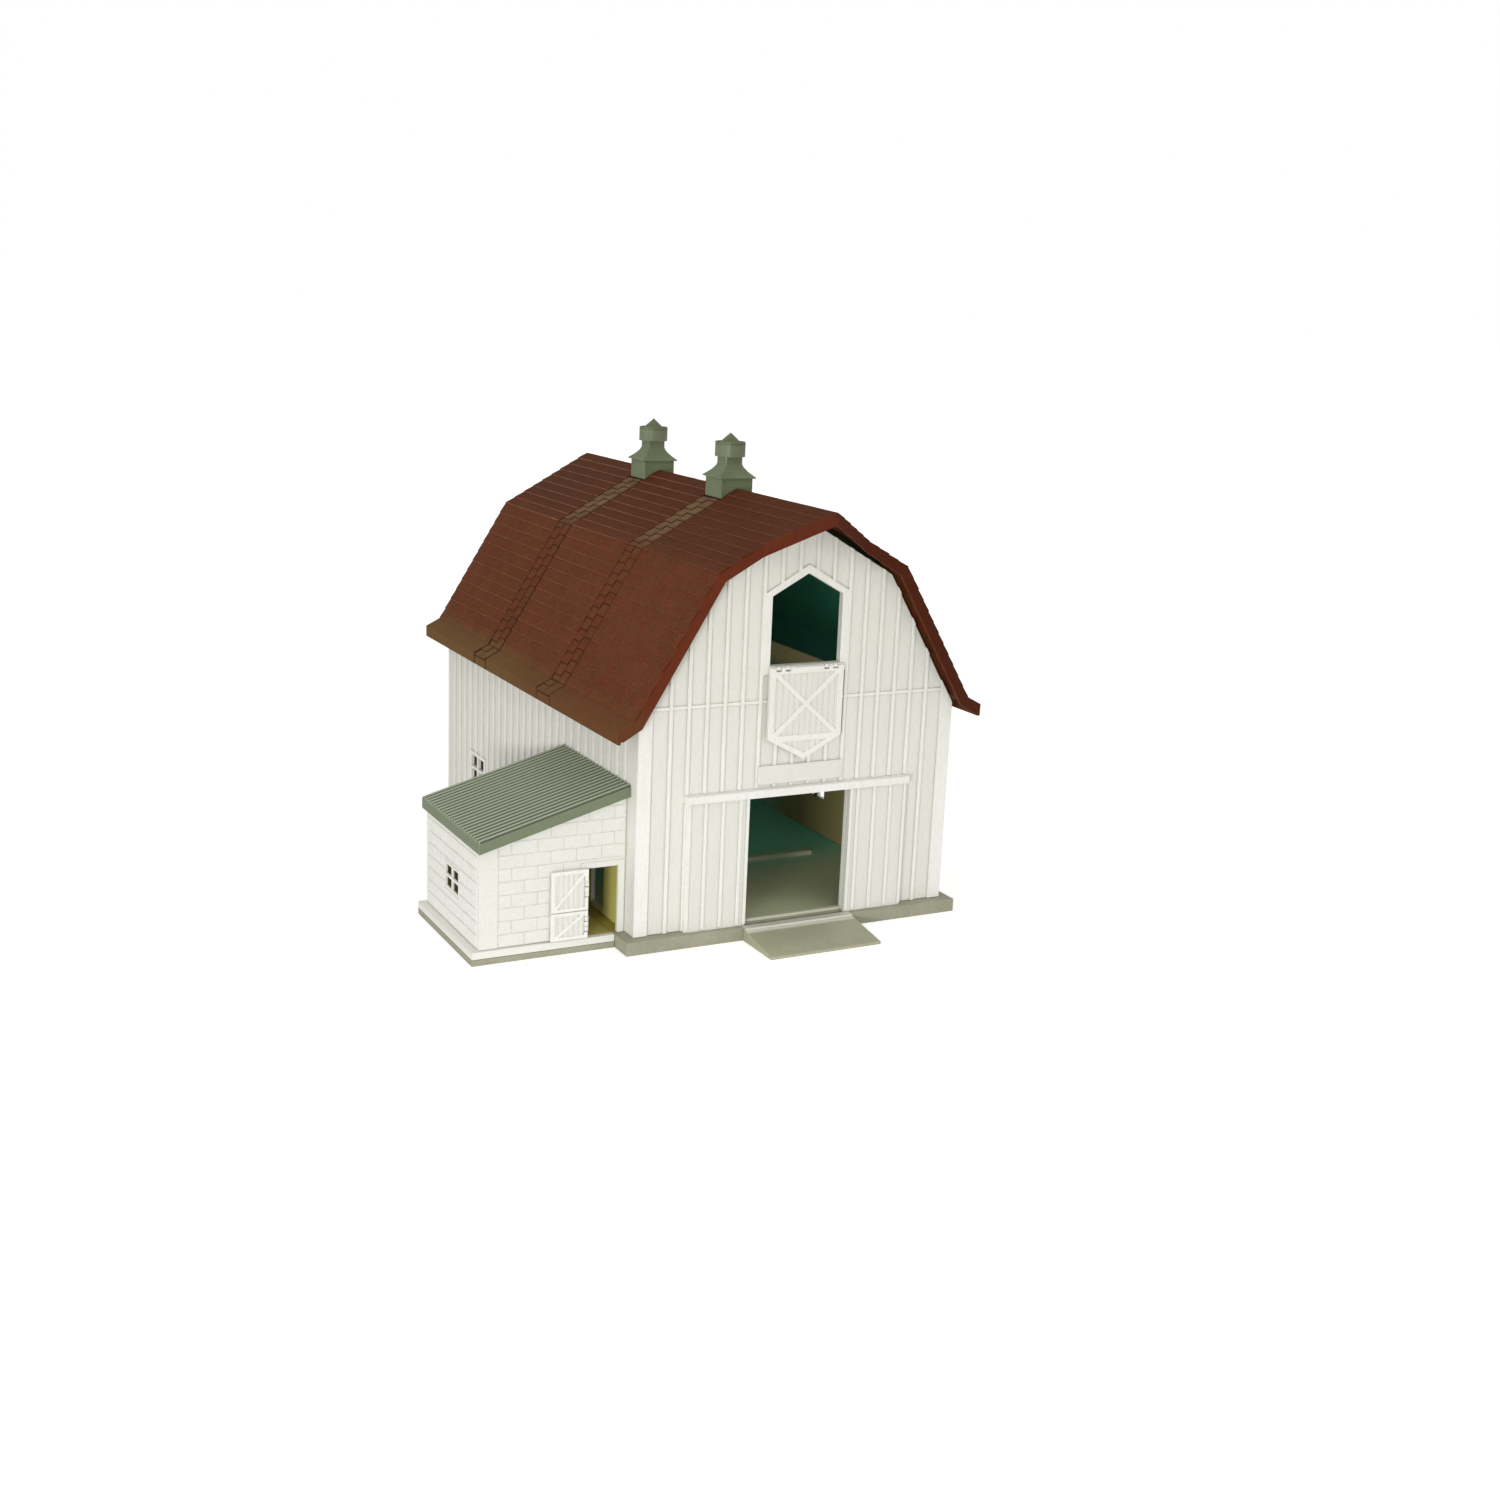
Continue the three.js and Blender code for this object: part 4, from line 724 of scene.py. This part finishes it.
def roof_mesh():
    """An empty mesh whose faces carry a tone and a mark for the lips that get a painted highlight."""
    bm = bmesh.new()
    bm.faces.layers.float.new("tone")
    bm.faces.layers.float.new("lip")
    return bm


def courses(phase=0.0, drop=0.0):
    """Each course of the roof: its side, its upper and lower edge, and its number from the ridge.

    The courses may lie lower than the roof's, or start with a part of one, their phase.
    """
    for side in (-1, 1):
        number = 0
        for start, end in ((RIDGE, KNEE), (KNEE, KINK), (KINK, EAVE)):
            count = round(math.dist(start, end) / COURSE_PITCH)
            along = Vector(end) - Vector(start)
            out = Vector((-along.y, along.x)).normalized()
            shares = [0] + [(step + 1 - phase) / count for step in range(count)]
            if phase:
                shares.append(1)
            for above, below in zip(shares, shares[1:]):
                full = phase if below == 1 and phase else 1
                top = Vector(start) + along * above + out * (COURSE_HEAD - drop)
                lift = COURSE_HEAD + (COURSE_BUTT - COURSE_HEAD) * full
                foot = Vector(start) + along * below + out * (lift - drop)
                yield side, top, foot, number
                number += 1


def shingle(bm, side, top, foot, back, front, rise):
    """One shingle on a course, between its upper and lower edge, with a small bevel at its foot."""
    top, foot = Vector((side * top[0], 0, top[1])), Vector((side * foot[0], 0, foot[1]))
    down = (foot - top).normalized()
    level = Vector((0, side, 0))
    out = down.cross(level)
    thick = rise + SHINGLE_ROOT
    length = (foot - top).length + SHINGLE_LAP
    middle = (top + foot + down * SHINGLE_LAP) / 2 + out * (rise - thick / 2)
    middle.y = (back + front) / 2
    turn = Matrix((down, level, out)).transposed().to_4x4()
    size = Matrix.Diagonal((length, abs(back - front), thick, 1))
    verts = bmesh.ops.create_cube(bm, size=1, matrix=Matrix.Translation(middle) @ turn @ size)["verts"]
    brink = [vert for vert in verts if (vert.co - middle).dot(down) > 0 and (vert.co - middle).dot(out) > 0]
    rim = [edge for edge in brink[0].link_edges if edge.other_vert(brink[0]) == brink[1]]
    lip = bmesh.ops.bevel(bm, geom=rim, offset=SHINGLE_LIP, affect="EDGES", segments=1, profile=0.5,
                          material=-1)["faces"]
    bright = bm.faces.layers.float["lip"]
    faces = island(lip[0])
    for face in faces:
        face.normal_update()
        face[bright] = float(face in lip or face.normal.dot(down) > LIP_FACING)
    return faces


def keep_inside(bm):
    """Draws the feet of the last shingles back to the tips of the eaves."""
    for vert in bm.verts:
        vert.co.x = max(-EAVE_TIP, min(EAVE_TIP, vert.co.x))


def shingles_of(front, back, name, material, rng):
    """The shingles of one roof section, in running bond, each a little thicker or thinner."""
    bm = roof_mesh()
    tone = bm.faces.layers.float["tone"]
    at_front = front == ROOF_FRONT
    for side, top, foot, number in courses():
        room = SADDLE_ROOM - STRIP_ROOM if number < SADDLE_COURSES else 0
        prow = at_front and number < PROW_COURSES
        start = PROW_TIP if prow else front + (0 if at_front else room)
        end = back - (0 if back == ROOF_BACK else room)
        at = front - (PROW_SHINGLES if number % 2 else PROW_SHINGLES - 0.5) * SHINGLE_WIDTH
        while at < end:
            low, high = max(at + SHINGLE_GAP / 2, start), min(at + SHINGLE_WIDTH - SHINGLE_GAP / 2, end)
            at += SHINGLE_WIDTH
            if high - low < SHINGLE_LEAST:
                continue
            faces = shingle(bm, side, top, foot, high, low, SHINGLE_RISE * rng.uniform(*SHINGLE_RISES))
            shade = rng.random() ** 2
            for face in faces:
                face[tone] = shade
            if prow and low < ROOF_FRONT:
                edges = list({edge for face in faces for edge in face.edges})
                verts = list({vert for face in faces for vert in face.verts})
                trim(bm, verts + edges + faces, (0, PROW_TIP + PROW_TRIM, 0),
                     (side * (ROOF_FRONT - PROW_TIP), -PROW_HALF, 0))
    keep_inside(bm)
    finished(name, bm, material, "barn")


def lay_shingles(material):
    rng = random.Random(SHINGLE_SEED)
    first, second = STRIPS
    shingles_of(ROOF_FRONT, first - STRIP_ROOM, "shingles_front", material, rng)
    shingles_of(first + STRIP_ROOM, second - STRIP_ROOM, "shingles_middle", material, rng)
    shingles_of(second + STRIP_ROOM, ROOF_BACK, "shingles_rear", material, rng)


def lay_tiles(material):
    """Raised tiles on both columns of each cover strip, with gaps all round them."""
    rng = random.Random(TILE_SEED)
    for place, at in zip(("front", "rear"), STRIPS):
        bm = roof_mesh()
        tone = bm.faces.layers.float["tone"]
        for back, front, phase in TILE_COLUMNS:
            for side, top, foot, _ in courses(phase, STRIP_DROP):
                down = (foot - top).normalized()
                if top.x < TILE_CLEAR:
                    top = top + down * (TILE_CLEAR - top.x) / down.x
                if foot.x < TILE_CLEAR + TILE_LEAST or (foot - top).length < 2 * TILE_GAP:
                    continue
                shade = rng.random()
                for face in shingle(bm, side, top + down * TILE_GAP, foot, at + front - TILE_GAP / 2,
                                    at + back + TILE_GAP / 2, TILE_RISE * rng.uniform(*TILE_RISES)):
                    face[tone] = shade
        keep_inside(bm)
        finished(f"strip_tiles_{place}", bm, material, "barn")


def boards(name, corners, face, width, material, body):
    """Thin upright boards that fill a convex outline of (x, z) corners, given clockwise."""
    bm = bmesh.new()
    left, right = min(x for x, _ in corners), max(x for x, _ in corners)
    foot, top = min(z for _, z in corners), max(z for _, z in corners)
    count = round((right - left) / width)
    pitch = (right - left) / count
    for number in range(count):
        middle = Vector((left + pitch * (number + 0.5), face, (foot + top) / 2))
        size = Matrix.Diagonal((pitch - BOARD_GAP, 2 * BOARD_RISE, top - foot, 1))
        made = bmesh.ops.create_cube(bm, size=1, matrix=Matrix.Translation(middle) @ size)["verts"]
        upright = [edge for edge in {edge for vert in made for edge in vert.link_edges}
                   if abs(edge.verts[0].co.z - edge.verts[1].co.z) > BOARD_RISE]
        bmesh.ops.bevel(bm, geom=upright, offset=BOARD_BEVEL, affect="EDGES", segments=1, profile=0.5,
                        material=-1)
    for (x0, z0), (x1, z1) in zip(corners, corners[1:] + corners[:1]):
        trim(bm, bm.verts[:] + bm.edges[:] + bm.faces[:], (x0, 0, z0), (z0 - z1, 0, x1 - x0))
    finished(name, bm, material, body)


def board_doors(material):
    boards("hay_door_boards", HAY_PANEL, HAY_FACE, HAY_BOARD, material, "hay_door")
    left, right = MILK_LEAF_SIDES
    for leaf, foot, top in MILK_LEAF_PANELS:
        boards(f"milk_house_door_{leaf}_boards", ((left, foot), (left, top), (right, top), (right, foot)),
               MILK_LEAF_FACE, MILK_LEAF_BOARD, material, f"milk_house_door_{leaf}")


def dress(material, *nodes):
    for name in nodes:
        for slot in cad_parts[name].material_slots:
            slot.material = material


def dress_white_pieces():
    dress(white_plastic("barn_white", True, WALL_PANELS, SIDE_WINDOWS),
          "front_wall", "rear_wall", "left_side_wall", "right_side_wall", "door_track")
    dress(white_plastic("sliding_door_white", True, SLIDING_PANELS), "main_door_left", "main_door_right")
    dress(white_plastic("block_white", False, [], [MILK_WINDOW]),
          "milk_house_front_wall", "milk_house_end_wall", "milk_house_back_wall")
    hinged = white_plastic("hinged_door_white", True, HINGED_PANELS)
    dress(hinged, "hay_door", "milk_house_door_upper", "milk_house_door_lower")
    board_doors(hinged)


def dress_roofs():
    roof = roof_plastic("roof_brown")
    dress(roof, "roof_front_section", "roof_middle_section", "roof_rear_section")
    dress(roof_plastic("strip_brown", gaps=0.85), "roof_cover_strip_front", "roof_cover_strip_rear")
    dress(green_plastic(), "front_cupola_body", "front_cupola_cap", "rear_cupola_body",
          "rear_cupola_cap", "milk_house_roof")
    lay_shingles(roof)
    lay_tiles(roof_plastic("tile_brown", tiles=0.85, lips=0.3))


def dress_bases_and_pins():
    dress(base_plastic("base_khaki", "base khaki", "light base khaki", "base edge highlight"),
          "base_plate", "milk_house_base")
    dress(base_plastic("ramp_khaki", "ramp khaki", "light ramp khaki", "ramp edge highlight"), "entry_ramp")
    dress(pin_steel(), "hay_door_pin_left", "hay_door_pin_right", "milk_house_door_pin_upper",
          "milk_house_door_pin_lower")


stand_camera()
light_room()
lay_floor()
bpy.context.scene.view_settings.view_transform = "Standard"
dress_bases_and_pins()
dress_roofs()
dress_white_pieces()
